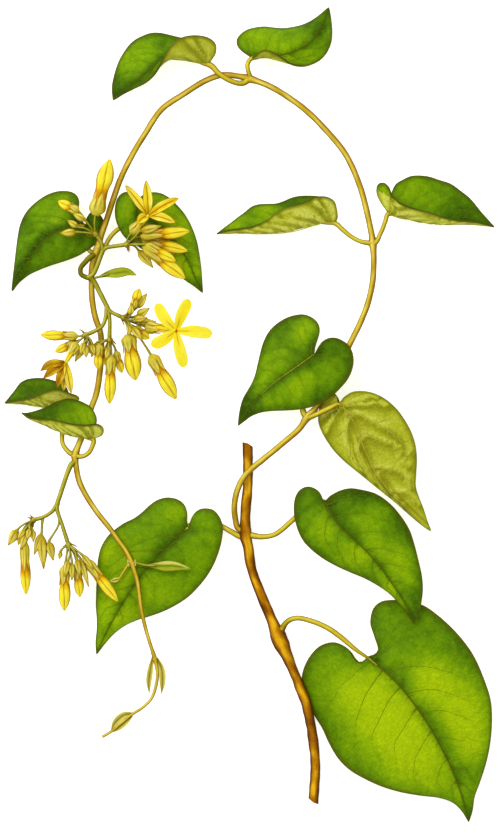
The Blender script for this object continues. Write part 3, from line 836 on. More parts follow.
OLD_PETAL = surface(
    "old_petal", [(0, 194, 128, 0), (0.32, 238, 196, 6), (0.62, 254, 230, 34), (1, 255, 248, 116)],
    (150, 92, 0, 0.9), (138, 78, 0, 0.92), patch=0.34, **OLD)
FADED_PETAL = surface(
    "faded_petal", [(0, 158, 92, 0), (0.4, 214, 156, 4), (0.7, 240, 198, 22), (1, 252, 234, 80)],
    (134, 76, 0, 0.9), (134, 76, 0, 0.85), patch=0.36, **OLD)
EYE = surface("flower_eye", [(0, 168, 92, 0), (1, 208, 140, 12)], (168, 92, 0, 0.5))
SMALL = dict(hatch=0.5, hatch_scale=(0.3, 3.0))
YOUNG = surface(
    "young_leaf", [(0, 136, 120, 10), (0.5, 188, 174, 40), (1, 238, 228, 116)],
    (236, 226, 120, 0.7), (116, 96, 6, 0.9), specular=0.06, **SMALL)
LANCE = surface(
    "lance_leaf", [(0, 96, 118, 2), (0.5, 142, 158, 10), (1, 196, 200, 56)],
    (96, 100, 6, 0.8), (88, 104, 4, 0.6), **SMALL)
SOFT_LEAF = surface(
    "narrow_young_leaf", [(0, 98, 124, 4), (0.5, 132, 154, 12), (0.8, 176, 182, 44), (1, 226, 216, 112)],
    (150, 146, 20, 0.6), (92, 102, 4, 0.7), **SMALL)


# Leaves

# Places along a midrib are counted in rows, which crowd towards its foot. The rows of a half begin at the
# first of them, where the fan over its lobe ends.
RIB_ROWS = 7
RIB_EASE = 1.15
SIDES = ("left", "right")
# The thickness of a blade, and how far it swells between its veins and sinks at its midrib
BLADE, SWELL, SINK = 0.7, 0.45, 0.3
# A row that is at least this long bows as far as its half says
FULL_BOW = 14
# Points closer than this are one. The blade settles this many times, each time by a share of the way.
SAME_PLACE = 0.0005
SETTLE_TIMES, SETTLE = 14, 0.6
# The three grids of a half: where its flow starts from, and how wide and how far back its streaks are laid
GRIDS = {"main": (np.s_[:, :1], 60, 0), "fan": (np.s_[:1, :1], 40, 40), "corner": (np.s_[-1:, :1], 8, 50)}
# Main veins start at these rows and sweep this share of the way towards the tip
VEIN_ROWS, SWEEP = (0.95, 1.9, 2.9, 3.9, 4.8, 5.6), 0.3
FEW_VEIN_ROWS, WIDE_SWEEP = (0.8, 2.0, 3.5, 4.9), 0.4
# Radii of the main veins, of the short ones beside the midrib and of those over the lobe, on a full-size leaf
VEIN_RADIUS, SHORT_VEIN, LOBE_VEIN = 0.165, 0.085, 0.14
LEAST_MAIN_VEIN = 0.1
# The radius of a branch as a share of its vein's, and how far a vein stays from the margin
BRANCH, VEIN_STOP = 0.55, 1.1
RIB_POINTS = 40
# How light each blade is, how strong its dark band beside the midrib is on its left and right half,
# and soft spots laid on it by hand: x, y, radius and how much lighter or darker
LIGHTNESS = {
    "leaf_largest": (0.5, 0.34, 0.0, [
        (49.8, -113, 13, 0.46), (40, -104, 9, 0.3), (62.7, -130, 11, 0.42), (56, -121, 10, 0.24),
        (70, -100, 9, 0.44), (81, -112, 10, 0.42), (84, -124, 8, 0.34), (58, -100, 5, -0.1),
        (77, -89, 6, -0.06), (60, -80, 12, -0.08), (80, -91, 9, -0.1), (46, -132, 8, -0.06),
        (33, -118, 7, -0.1), (82, -143, 6, 0.26), (51, -92, 4, 0.18), (54, -98, 4, 0.2),
        (62, -106, 5, 0.18), (77, -132, 4, 0.18), (71, -140, 4, 0.18)]),
    "leaf_middle_right": (0.37, 0.24, 0.04, [
        (28, -42.4, 7, 0.3), (38, -53.5, 7, 0.3), (47, -52, 5, 0.2), (53, -61, 6, 0.28), (45.6, -39, 7, 0.24),
        (57, -53, 7, 0.28), (62.5, -42, 6, -0.24), (42, -29, 6, -0.18), (21, -52, 5, -0.06),
        (44.5, -49.6, 5, 0.2), (62, -73, 4, 0.02), (54, -66, 4, 0.34), (58, -71, 3, 0.3),
        (61, -62, 4, 0.14)]),
    "leaf_centre": (0.33, 0.22, 0.08, [
        (10.3, 31, 6, 0.02), (22, 35, 5, 0.3), (8, 21, 6, 0.22), (19, 12, 8, 0.38), (31, 18, 5, 0.16),
        (5, 13, 5, 0.22), (34, 26, 5, -0.02), (-3.5, 2.4, 5, -0.24), (13, 24, 3, 0.08), (2, 36, 4, -0.06),
        (19, 30, 4, 0.24), (6, 6, 5, 0.26), (25, 8, 4, -0.22)]),
    "leaf_lower_left": (0.52, 0.1, 0.24, [
        (-56, -50, 6, 0.32), (-54, -76, 6, 0.36), (-45, -59, 7, 0.26), (-17, -53, 5, 0.02),
        (-45, -80, 6, 0.34), (-30, -45, 6, -0.06), (-39, -66, 5, 0.12), (-30, -68, 6, 0.12),
        (-36, -37, 6, 0.02), (-26, -37, 5, 0.2), (-49, -68, 5, 0.24), (-57, -86, 4, 0.3)]),
    "leaf_upper_left": (0.46, 0.06, 0.3, [
        (-81, 79, 7, 0.04), (-72, 82, 6, 0.04), (-70, 67, 6, -0.04), (-88, 53, 6, -0.2), (-62, 74, 6, -0.28),
        (-84, 66, 5, -0.04), (-74, 59, 5, -0.02), (-87, 74, 4, -0.24), (-72, 73, 4, 0.24)]),
    "leaf_behind_flowers": (0.5, 0.18, 0.08, [
        (-47.5, 78, 5, 0.1), (-28, 70, 6, 0.32), (-21, 56, 4, 0.32), (-33, 83, 5, 0.2), (-44, 70, 3, -0.1),
        (-22, 76, 4, 0.22), (-26, 60, 4.5, 0.3)]),
    "leaf_arch_left": (0.46, 0.08, 0.14, [
        (-39, 139, 5, 0.16), (-47.6, 136, 5, 0.18), (-52, 121, 5, -0.34), (-34, 143, 4, -0.12),
        (-41, 131, 3, 0.1), (-50.5, 128, 4, -0.12)]),
    "leaf_arch_top": (0.49, 0.1, 0.14, [
        (6, 143, 6, 0.16), (21, 139.5, 5, 0.18), (24, 150, 5, -0.2), (-1, 146, 4, 0.14), (28, 142, 4, -0.06),
        (13, 137, 4, 0.32)]),
    "leaf_folded_centre": (0.48, 0.1, 0.1, [(-6.5, 73.5, 5, 0.3), (6, 78, 4, 0.32), (18, 83, 6, -0.2)]),
    "leaf_folded_right": (0.42, 0.04, 0.08, [
        (60, 86, 6, 0.2), (69, 82, 6, 0.14), (82, 75, 6, -0.22), (51, 85, 4, 0.14), (78, 80, 4, -0.06),
        (74, 77, 4, -0.12)]),
    "leaf_folded_left_front": (0.36, 0.1, 0.1, [(-62, 0, 5, 0.44), (-76, 2.5, 5, -0.12), (-71, -1, 4, 0.24)]),
    "leaf_folded_left_back": (0.36, 0.1, 0.1, [(-84, 8, 4, -0.08), (-74, 12, 4, -0.04)]),
}
USUAL_LIGHTNESS = (0.4, 0.15, 0.05, [])
# How far the midrib is pale, from its base
PALE_RIBS = {"leaf_largest": 0.1, "leaf_centre": 0.66}
# The finger at the base of the right folded leaf: the line it is folded on (a point and the direction across
# it), how far points are drawn onto that line, and where the finger ends
FOLD_AT, FOLD = np.array([48.4, 85.8]), np.array([0.478, 0.878])
FOLD_DRAW, FOLD_END, FINGER_END = 0.55, 55.5, 54.9


def on_rib(rib, row):
    """The point of a midrib at a place counted in rows."""
    return rib.at((row / RIB_ROWS) ** RIB_EASE)


def half_surface(one, left, rib, fine):
    """Points of one half as three grids: the rows from midrib to margin, the fan over its lobe, and the
    corner between both and the foot of the midrib."""
    edge = RisingCurve(one["outline"], one["heights"])
    lobe, heart_step = one["lobe"], one["heart"]
    inner, outer, rows, parts = 3, fine["columns"], fine["rows"], fine["fan"]
    hub = inner + 1

    def row(root, share, steps, target):
        across = target - root
        along = edge.at(share + 0.02) - edge.at(share - 0.02)
        up = unit(np.cross(along, across) if left else np.cross(across, along))
        bow = value_at(one["bows"], share) * min(1, np.linalg.norm(across) / FULL_BOW)
        return root + across * steps[:, None] + up * (bow * 4 * steps * (1 - steps))[:, None]

    def steps_for(length, start):
        last = 1 - min(0.25, 0.36 / max(length, 0.2))
        return np.concatenate([np.linspace(start, last, outer + 1), [1]])

    main = []
    for i in range(rows + 1):
        share = lobe + (1 - lobe) * i / rows
        root, target = on_rib(rib, 1 + 6 * i / rows), edge.at(share)
        length = np.linalg.norm(target - root)
        near = min(0.45 / max(length, 0.2), heart_step * 0.5)
        steps = np.concatenate([[0], np.linspace(near, heart_step, inner + 1),
                                steps_for(length, heart_step)[1:]])
        main.append(row(root, share, steps, target))
    main = np.array(main)
    heart, base, first = main[0, hub], rib.at(0), edge.at(0)
    gap = np.linalg.norm(first - base)
    whole = gap + edge.plan.length * lobe
    fan = []
    for i in range(parts + 1):
        run = whole * i / parts
        if run < gap:
            target, share = base + (first - base) * run / gap, 0.0
        else:
            share = (run - gap) / edge.plan.length
            target = edge.at(share)
        fan.append(row(heart, share, steps_for(np.linalg.norm(target - heart), 0), target))
    fan = np.array(fan)
    fan[-1] = main[0, hub:]
    columns = fan.shape[1]
    corner = np.zeros((columns, hub + 1, 3))
    line_steps = np.linalg.norm(fan[0] - heart, axis=1) / max(np.linalg.norm(base - heart), 1e-6)
    for j in range(columns):
        rest = 1 - j / (columns - 1)
        for k in range(hub + 1):
            share = (1 - line_steps[j]) * k / hub + rest * (1 - k / hub)
            corner[j, k] = base + (main[0, k] - base) * share
        corner[j, 0] = on_rib(rib, rest)
        corner[j, hub] = fan[0, j]
    return {"edge": edge, "main": main, "fan": fan, "corner": corner, "lobe": lobe, "left": left}


def merged(points, faces):
    """Points in the same place as one: the first of each, where each point went, and the faces left."""
    keys = np.round(points / SAME_PLACE).astype(np.int64)
    _, first, back = np.unique(keys, axis=0, return_index=True, return_inverse=True)
    back = back.ravel()
    kept = []
    for face in faces:
        ring = []
        for i in face:
            j = int(back[i])
            if not ring or ring[-1] != j:
                ring.append(j)
        if len(ring) > 1 and ring[0] == ring[-1]:
            ring.pop()
        if len(set(ring)) == len(ring) and len(ring) > 2:
            kept.append(tuple(ring))
    return first, back, kept


def joined_halves(halves, bands):
    """Both halves as one blade: points, faces, the faces of each half, and each point's flow and band."""
    points, faces, flow, band = [], [], [], []
    count = 0
    for side, one in halves.items():
        for kind, (start, wide, behind) in GRIDS.items():
            grid = one[kind]
            rows, columns = grid.shape[:2]
            flip = one["left"] != (kind == "corner")
            for cell in grid_faces(rows, columns):
                faces.append((tuple(i + count for i in (reversed(cell) if flip else cell)), side))
            i = np.linspace(0, 1, rows)[:, None] + np.zeros((1, columns))
            reach = np.linalg.norm(grid - grid[start], axis=2)
            points.append(grid.reshape(-1, 3))
            flow.append(np.stack([reach, i * wide - behind, 0 * i], axis=-1).reshape(-1, 3))
            band.append(np.full(rows * columns, bands[side]))
            count += rows * columns
    points, flow, band = np.vstack(points), np.vstack(flow), np.concatenate(band)
    first, back, kept = merged(points, [face for face, _ in faces])
    own = {side: [] for side in halves}
    for face, side in faces:
        ring = [int(back[i]) for i in face]
        if len(set(ring)) == len(ring):
            own[side].append(ring)
    return points[first], kept, own, flow[first], band[first]


def point_normals(points, faces):
    normals = np.zeros_like(points)
    for size in (3, 4):
        some = np.array([f for f in faces if len(f) == size])
        if not len(some):
            continue
        a, c = points[some[:, 0]], points[some[:, 2]]
        b, d = points[some[:, 1]], points[some[:, 3 if size == 4 else 0]]
        normal = np.cross(c - a, d - b) if size == 4 else np.cross(b - a, c - a)
        for k in range(size):
            np.add.at(normals, some[:, k], normal)
    return unit(normals)


def smoothed(points, faces, edges, fixed):
    """The blade after its points have settled between their neighbours, all but the fixed ones."""
    pairs = np.array(edges)
    pairs = np.vstack([pairs, pairs[:, ::-1]])
    degree = np.bincount(pairs[:, 0], minlength=len(points))[:, None]
    for _ in range(SETTLE_TIMES):
        total = np.zeros_like(points)
        np.add.at(total, pairs[:, 0], points[pairs[:, 1]])
        normals = point_normals(points, faces)
        move = total / np.maximum(degree, 1) - points
        move = normals * np.sum(move * normals, axis=1, keepdims=True) * SETTLE
        move[fixed] = 0
        points = points + move
    return points


def tree_of(points):
    tree = KDTree(len(points))
    for i, p in enumerate(points):
        tree.insert(p, i)
    tree.balance()
    return tree


def distances(tree, points):
    return np.array([tree.find(p)[2] for p in points])


def bezier(a, b, c, count):
    t = np.linspace(0, 1, count)[:, None]
    return a * (1 - t) ** 2 + b * 2 * t * (1 - t) + c * t * t


def wandering(line, amount, chance):
    """The same line with small sideways bends that grow away from its start."""
    t = np.linspace(0, 1, len(line))
    across = unit(np.cross([0, 0, 1], np.gradient(line, axis=0)))
    bends = sum(np.sin(t * chance.uniform(3, 16) + chance.uniform(0, 6)) / (k + 1) for k in range(3))
    return line + across * (amount * bends * t * (1.2 - t))[:, None]


def vein_plans(half, rib, size, few, chance):
    """Lines of the main veins of one half, with the size of each, before they are laid on the blade."""
    edge, lobe = half["edge"], half["lobe"]
    rows, sweep = (FEW_VEIN_ROWS, WIDE_SWEEP) if few else (VEIN_ROWS, SWEEP)
    lines = []
    for k, at_row in enumerate(rows):
        at_row = at_row + chance.uniform(-0.12, 0.12) + (0.25 if half["left"] else 0)
        start = on_rib(rib, at_row)
        share = lobe + (1 - lobe) * max(at_row - 1, 0) / 6
        early = edge.at(share + (1 - share) * 0.06)
        end = edge.at(share + (1 - share) * sweep + 0.02)
        end = start + (end - start) * (chance.uniform(0.72, 0.92) + (sweep - SWEEP))
        bend = start + (early - start) * chance.uniform(0.5, 0.66)
        line = wandering(bezier(start, bend, end, 40), 1.1 * size, chance)
        lines.append((line, VEIN_RADIUS * size * (1 - 0.07 * k)))
    for at_row in np.arange(0.5, 6.2, 0.47):
        start = on_rib(rib, at_row)
        share = lobe + (1 - lobe) * max(at_row - 1, 0) / 6
        end = start + (edge.at(share + (1 - share) * 0.2) - start) * chance.uniform(0.12, 0.3)
        bend = start + (edge.at(share) - start) * 0.08
        lines.append((wandering(bezier(start, bend, end, 16), 0.8 * size, chance), SHORT_VEIN * size))
    for share, reach, weight in ((0.42, 0.84, 0.8), (0.72, 0.88, 0.95), (0.98, 0.86, 1.0)):
        start = rib.at((0.12 + 0.1 * share) / RIB_ROWS)
        end = start + (edge.at(share * lobe) - start) * reach
        early = edge.at(max(share - 0.2, 0.1) * lobe)
        bend = start + (early - start) * 0.4 + (end - start) * 0.12
        line = wandering(bezier(start, bend, end, 34), 0.9 * size, chance)
        lines.append((line, LOBE_VEIN * size * weight))
    return lines


def branchlets(lines, chance):
    """Small veins that leave the main ones at a slant, first on one side and then on the other."""
    small = []
    for points, radius in lines:
        if radius < LEAST_MAIN_VEIN:
            continue
        reach = np.linalg.norm(points[-1] - points[0])
        for k, share in enumerate((0.3, 0.48, 0.64, 0.8)):
            i = int(share * (len(points) - 1))
            forward = unit(points[i + 1] - points[i - 1])
            across = unit(np.cross([0, 0, 1], forward)) * (1 if k % 2 else -1)
            length = reach * chance.uniform(0.14, 0.3) * (1.1 - share * 0.6)
            end = points[i] + (forward * 0.75 + across * chance.uniform(0.6, 1.0)) * length
            bend = points[i] + (forward * 0.3 + across * 0.55) * length
            small.append((wandering(bezier(points[i], bend, end, 14), 0.8, chance), radius * BRANCH))
    return small


def face_tree(points, faces):
    return BVHTree.FromPolygons([Vector(p) for p in points], [list(face) for face in faces])


def laid_veins(plans, trees, points, normals, margin_tree):
    """The veins laid on the blade, each short of the margin: its points, the way up at each, its radius."""
    point_tree = tree_of(points)
    laid = []
    for side, lines in plans.items():
        for line, radius in lines:
            spots, ups = [], []
            for k, p in enumerate(line):
                place = trees[side].find_nearest(Vector(p))[0]
                if k > 2 and margin_tree.find(place)[2] < VEIN_STOP:
                    break
                spots.append(place)
                ups.append(normals[point_tree.find(place)[1]])
            if len(spots) > 5:
                laid.append((np.array(spots), unit(np.array(ups)), radius))
    return laid


def add_blade(piece, name, points, kept, margin, light, below, rim, line, under_line, flow):
    """Two faces and the wall round them, lifted where they would go below the surface they lie on."""
    normals = point_normals(points, kept)
    top, low = points + normals * BLADE / 2, points - normals * BLADE / 2
    for one, other in ((top, low), (low, top)):
        under = one[:, 2] < 0
        one[under, 2] = 0
        other[under, 2] = np.maximum(other[under, 2], BLADE)
    piece.add(top, kept, LEAF, light=light, rim=rim, line=line, flow=flow)
    finger = name == "leaf_folded_right"
    beside = low[:, :2] @ FOLD - FOLD_AT @ FOLD
    if finger:
        near = (np.abs(beside) < FOLD_DRAW) & (low[:, 0] < FOLD_END)
        low[near, :2] -= beside[near, None] * FOLD
    green, pale = [], []
    for face in kept:
        some = list(face)
        turned_up = finger and low[some, 0].mean() < FINGER_END and beside[some].mean() > 0
        (green if turned_up else pale).append(face[::-1])
    piece.add(low, pale, UNDER, light=below, rim=rim, line=under_line, flow=flow)
    if green:
        piece.add(low, green, LEAF, light=light + 0.2, rim=rim, flow=flow)
    n = len(points)
    piece.add(np.vstack([top, low]), [(b, a, a + n, b + n) for a, b in margin], LEAF, light=0.0, rim=0.8)


def add_veins(piece, laid, tip):
    """Each vein as a thin tube on the face and a thicker, paler one below, which stops short of the tip."""
    for spots, ups, radius in laid:
        reach = np.linalg.norm(np.diff(spots, axis=0), axis=1).sum()
        if reach < 1.5:
            continue
        step = max(0.8, reach / 22)
        above = spots + ups * (BLADE / 2 - radius * 0.3)
        tube(piece, above[::2], np.array([1.0, 0.86, 0.6]) * radius, VEIN, sides=5, step=step, edge=0.4)
        grow = 1.2 if radius < LEAST_MAIN_VEIN else 1.5
        below = spots - ups * (BLADE / 2 - radius * grow * 0.35)
        stop = (below[:, 2] < radius * grow + 0.1) | (np.linalg.norm(spots - tip, axis=1) < 8)
        below = below[:int(np.argmax(np.append(stop, True)))]
        if len(below) > 5:
            tube(piece, below[::2], np.array([1.5, 0.9, 0.5]) * radius * grow, PALE_VEIN, sides=5, step=step)


def add_midrib(piece, leaf, rib, points, kept, size):
    """The thin rib on the face and the thicker one below. The way up is carried from the middle of the
    rib to its ends, because a blade may be folded there."""
    rib_line = rib.at(np.linspace(0.012, 0.985, RIB_POINTS))
    tree = face_tree(points, kept)
    ups = unit(np.array([tree.find_nearest(Vector(p))[1] for p in rib_line]))
    middle = len(ups) // 2
    for k in [*range(middle + 1, len(ups)), *range(middle - 1, -1, -1)]:
        inner = ups[k - 1 if k > middle else k + 1]
        if np.dot(ups[k], inner) < 0:
            ups[k] = inner
    top_line = rib_line + ups * (BLADE / 2 - 0.34)
    low_line = rib_line - ups * (BLADE / 2 + 0.22)
    low_line = low_line[:int(np.argmax(np.append(low_line[:, 2] < 0.6, True)))]
    tube(piece, top_line, np.array([0.3, 0.25, 0.2, 0.1]) * size, MIDRIB, sides=8, step=1.5)
    if leaf["name"] in PALE_RIBS:
        count = int(PALE_RIBS[leaf["name"]] * RIB_POINTS)
        tube(piece, top_line[:count] + ups[:count] * 0.05, np.array([0.34, 0.3, 0.16]) * size, PALE_MIDRIB,
             sides=8, step=1.5)
    cover, edge = (UNDER_RIB, 1.0) if leaf["turned_over"] else (PALE_VEIN, 0.2)
    tube(piece, low_line[1:-3], np.array([0.5, 0.42, 0.3, 0.14]) * size, cover, sides=8, step=1.5, edge=edge)


def add_petiole(piece, leaf):
    """The stalk, a little thicker than in the solids. A short one narrows to the foot of its blade."""
    radius = leaf["thick"] * 1.1
    profile = [share * radius for share in (1.25, 1.08, 0.98, 0.96, 0.98, 1, 1.02, 1.08, 0.98)] + [0.45]
    if leaf["short"]:
        profile = [share * radius for share in (1.2, 1.05, 0.96, 0.96, 0.98, 1, 1, 0.9, 0.7, 0.55)]
    tube(piece, leaf["petiole"], profile, PETIOLE, sides=16, rough=0.03, seed=3, gleam=0.4,
         shade=[-0.1, -0.06, -0.06, -0.06, -0.06, -0.06, -0.08, -0.14, -0.3])
    if leaf["name"] == "leaf_largest":
        tube(piece, xyz(10.6, -83.6, 2.8, 11.9, -81.2, 3.8, 12.9, -79.6, 5), [1.7, 1.6, 1.35, 1.15], BARK,
             sides=14, step=0.4, rough=0.06, seed=9, blotch=0.2)


def leaf_piece(leaf):
    name, piece = leaf["name"], Piece(leaf["name"])
    rib = RisingCurve(leaf["rib"], leaf["heights"])
    tip = rib.at(1)
    span = max(Curve(leaf[side]["outline"]).length for side in SIDES)
    size = min(1, span / 130)
    fine = {"rows": int(max(34, span / 1.7)), "columns": int(max(9, span / 11)),
            "fan": int(max(22, span / 3.2))}
    chance = np.random.default_rng(len(name) * 31 + int(span * 7))
    level, left_band, right_band, spots_on = LIGHTNESS.get(name, USUAL_LIGHTNESS)
    halves = {side: half_surface(leaf[side], side == "left", rib, fine) for side in SIDES}
    points, kept, own, flow, band = joined_halves(halves, {"left": left_band, "right": right_band})
    edges = dict.fromkeys(edge for face in kept for edge in zip(face, face[1:] + face[:1]))
    margin = [(a, b) for a, b in edges if (b, a) not in edges]
    to_rib = distances(tree_of(rib.at(np.linspace(0, 1, 300))), points)
    fixed = to_rib < 0.02
    fixed[np.unique(margin)] = True
    points = smoothed(points, kept, list(edges), fixed)

    # veins, laid on the blade half by half
    normals = point_normals(points, kept)
    trees, plans = {}, {}
    vein_size = 0.75 + 0.25 * min(1, span / 140)
    for side, one in halves.items():
        trees[side] = face_tree(points, own[side])
        plans[side] = vein_plans(one, rib, vein_size, leaf["turned_over"], chance)
        plans[side] += branchlets(plans[side], chance)
    margin_tree = tree_of(points[fixed & (to_rib > 0.02)])
    laid = laid_veins(plans, trees, points, normals, margin_tree)
    vein_tree = tree_of(np.vstack([spots for spots, _, radius in laid if radius > LEAST_MAIN_VEIN]))
    nearest = [vein_tree.find(p) for p in points]
    to_vein = np.array([found[2] for found in nearest])
    lengthwise = unit(tip - rib.at(0))
    tipward = np.array([np.dot(p - np.array(found[0]), lengthwise) for p, found in zip(points, nearest)])
    to_margin = distances(margin_tree, points)

    # the blade swells between its veins and sinks at its midrib
    puff = SWELL * (1 - hill(to_vein, 2.2)) * smooth(0.2, 3.5, to_margin) * smooth(0.2, 3, to_rib)
    puff = puff - SINK * hill(to_rib, 1.1) * smooth(0.2, 2.0, to_margin)
    points = points + normals * puff[:, None]

    # light and dark of the green face
    to_tip = np.linalg.norm(points - tip, axis=1)
    fade = 0.35 + 0.65 * smooth(4, 26 * size, to_tip)
    light = level - 0.15 * (1 - smooth(0, 6 * size, to_margin))
    light = light - fade * band * (1 - smooth(0.8, 9 * size, to_rib))
    light = light - 0.1 * hill(to_rib, 1.6) - 0.07 * hill(to_vein, 0.8)
    for x, y, radius, more in spots_on:
        light = light + more * np.exp(-((points[:, 0] - x) ** 2 + (points[:, 1] - y) ** 2) / radius**2)
    light = light + 0.4 * (smooth(0.12, 0.88, light) - light)

    # light and dark of the underside, darker on the tip's side of each vein and lighter on the other
    beyond = smooth(-0.3, 0.8, tipward) * hill(to_vein - 0.8, 2.0)
    before = smooth(0.3, -0.8, tipward) * hill(to_vein - 1.0, 1.8)
    if leaf["turned_over"]:
        beyond = 1.15 * smooth(-0.05, 0.4, tipward) * np.exp(-(np.clip(to_vein - 0.4, 0, 9) / 2.6) ** 1.5)
        before = 1.7 * smooth(0.15, -0.4, tipward) * hill(to_vein - 0.4, 1.4)
        before = before + 0.9 * (1 - smooth(5, 17, to_tip))
    below = 0.6 + 0.3 * np.maximum(puff, 0) - 0.32 * beyond + 0.18 * before
    below = below - 0.12 * (1 - smooth(0, 4 * size, to_margin))
    if "folded" in name:
        below = 0.68 + 1.5 * (below - 0.54)

    add_blade(piece, name, points, kept, margin, light, below, smooth(0.85, 0.15, to_margin),
              hill(to_rib, 0.42), hill(to_rib - 0.9, 0.5), flow)
    add_veins(piece, laid, tip)
    add_midrib(piece, leaf, rib, points, kept, size)
    add_petiole(piece, leaf)
    piece.finish(name + "_grown", "pale_leaf" if leaf["turned_over"] else "leaf")


# Stems

# How much lighter or darker the wood is along its line, from its upper end
WOOD_SHADE = [
    -0.08, -0.04, 0.0, 0.0, 0.0, -0.04, 0.08, -0.18, -0.16, -0.2, -0.2, -0.08,
    0.08, -0.02, -0.06, -0.14, -0.12, -0.18, -0.2, -0.16, -0.14, -0.12, -0.06,
]
# Radii of the shoot at its start and at its tip
SHOOT_RADIUS, TIP_RADIUS = 1.15, 0.55
# The middle of the arch of the shoot
ARCH = (0, 70)


def woody_stem():
    piece = Piece("woody_stem")
    shares = np.linspace(0, 1, 181)
    radii = 1.9 + 0.06 * np.sin(shares * 47) + 0.04 * np.sin(shares * 83 + 1)
    for swollen, width, rise in ((0.24, 0.03, 0.45), (0.545, 0.042, 1.15), (0.232, 0.006, 0.16),
                                 (0.248, 0.006, 0.16), (0.528, 0.006, 0.16), (0.561, 0.006, 0.16)):
        radii = radii + rise * hill(shares - swollen, width)
    tube(piece, WOOD_LINE, radii, BARK, sides=30, step=0.45, rough=0.04, seed=5, flutes=5, flute=0.03,
         ends=(0.45, 0.5), blotch=0.22, gleam=0.9, shade=WOOD_SHADE)
    piece.finish("woody_stem_bark", "bark")


def twining_shoot():
    piece = Piece("twining_shoot")
    curve = Curve(SHOOT_LINE)
    shares = np.linspace(0, 1, 481)
    at = curve.at(shares)

    def away_from(x, y):
        return np.hypot(at[:, 0] - x, at[:, 1] - y)

    bulge = sum(0.42 * hill(away_from(x, y), 2.3) for x, y in SHOOT_NODES)
    thin = smooth(0.72, 1, shares)
    radii = SHOOT_RADIUS + (TIP_RADIUS - SHOOT_RADIUS) * thin + bulge * (1 - thin / 2)
    tube(piece, curve, radii, SHOOT, sides=18, rough=0.03, seed=8, blotch=0.1, gleam=0.5, arch=ARCH)
    for x, y in SHOOT_NODES:
        k = int(np.argmin(away_from(x, y)))
        way = unit(at[min(k + 1, len(at) - 1)] - at[k - 1])
        tube(piece, [at[k] - way * 0.5, at[k], at[k] + way * 0.5], radii[k] * np.array([0.9, 1.09, 0.9]),
             SHOOT, sides=18, step=0.12, rough=0.05, seed=k)
    k = int(np.argmin(away_from(-45, -55.8)))
    for out, lean in ((1, 0.35), (-1, 0.6)):
        foot = at[k] + np.array([0.6 * out, -0.9, 0.5])
        blade(piece, [foot, foot + [0.5 * out, 1.2, 0.5], foot + [lean * out * 2, 2.6, 0.5]],
              [1.2, 1.3, 0.9, 0.3], YOUNG, rows=10, columns=7, tip=0.5, thickness=0.3)
    for spine, width in YOUNG_LEAVES:
        blade(piece, spine, [s * width for s in (0.38, 0.85, 1, 0.8, 0.28)], YOUNG, rows=24, channel=0.6,
              tip=0.4, thickness=0.4, wave=0.15, rim_width=0.5, line_width=0.34, line_end=1.1, stripes=0.35,
              capped=False)
    tube(piece, BRACT_STALK, [0.45, 0.4], SHOOT, sides=8)
    blade(piece, BRACT, [0.8, 1.7, 0.6], YOUNG, rows=12, tip=0.4)
    piece.finish("twining_shoot_skin", "shoot")


def short_of(path, reach):
    end = np.array(path[-1], float)
    back = unit(np.array(path[-2], float) - end)
    return [*path[:-1], end + back * reach]


def branches(piece, paths):
    for path in paths.values():
        tube(piece, short_of(path, 1.2), [0.84, 0.76, 0.74, 0.82], STALK, rough=0.03)


def flower_stalks():
    upper = Piece("flower_stalk_upper")
    tube(upper, UPPER_TRUNK, [1.1, 1.02, 0.96, 0.96, 0.92, 0.88], STALK, sides=14, rough=0.03,
         shade=(-0.1, -0.35, -0.45, -0.3, -0.05, 0, 0))
    tube(upper, UPPER_RISE, [0.95, 0.9, 0.88], STALK, sides=14, rough=0.03)
    branches(upper, UPPER_PATHS)
    upper.finish("flower_stalk_upper_skin", "shoot")
    lower = Piece("flower_stalk_lower")
    tube(lower, LOWER_TRUNK, [1.1, 0.95, 0.9, 0.92], STALK, sides=14, rough=0.03)
    branches(lower, LOWER_PATHS)
    for fork, bend, base, tip, radius in SIDE_BUDS:
        pedicel(lower, fork, bend, base, tip)
        young_bud(lower, base, tip, radius)
    lower.finish("flower_stalk_lower_skin", "shoot")


# Buds and flowers

# Sepals of a grown bud reach this share of it, if nothing else is said, and its corolla starts at this share
SEPALS = 0.5
COROLLA_FOOT = 0.16


def distance(a, b):
    return np.linalg.norm(np.array(b, float) - np.array(a, float))


def pedicel(piece, fork, bend, base, tip):
    tube(piece, [fork, bend, base, between(base, tip, 0.06)], [0.52, 0.42, 0.42, 0.55], STALK,
         sides=9, rough=0.03)


def young_bud(piece, base, tip, radius):
    v = np.linspace(0, 1, 20)
    radii = radius * value_at([0.32, 0.84, 1.0, 0.93, 0.72, 0.42, 0.16], v)
    turned(piece, base, tip, v * distance(base, tip), radii, BUD_TIP,
           value_at([0.35, 0.6, 0.85, 0.9, 0.7, 0.2], v), ridge=0.14, sides=25, twist=0.3)


def grown_bud(piece, base, tip, radius, sepals=SEPALS):
    length = distance(base, tip)
    calyx(piece, base, tip, length * sepals, radius * 0.95, open_out=0.12 * radius)
    v = np.linspace(COROLLA_FOOT, 1, 30)
    radii = radius * value_at([0.6, 0.68, 0.74, 0.84, 0.95, 1.0, 0.97, 0.84, 0.6, 0.24],
                              (v - COROLLA_FOOT) / (1 - COROLLA_FOOT))
    light = (0.12 + 0.88 * smooth(sepals - 0.12, sepals + 0.2, v)) * (1 - 0.4 * smooth(0.9, 1, v))
    turned(piece, base, tip, v * length, radii, COROLLA, light, ridge=0.17, twist=0.4, line_width=0.13)


def spread_of(path):
    """The place where an umbel spreads and the way its stalk points there."""
    fork = np.array(path[-1], float)
    return fork, unit(fork - np.array(path[-2], float))


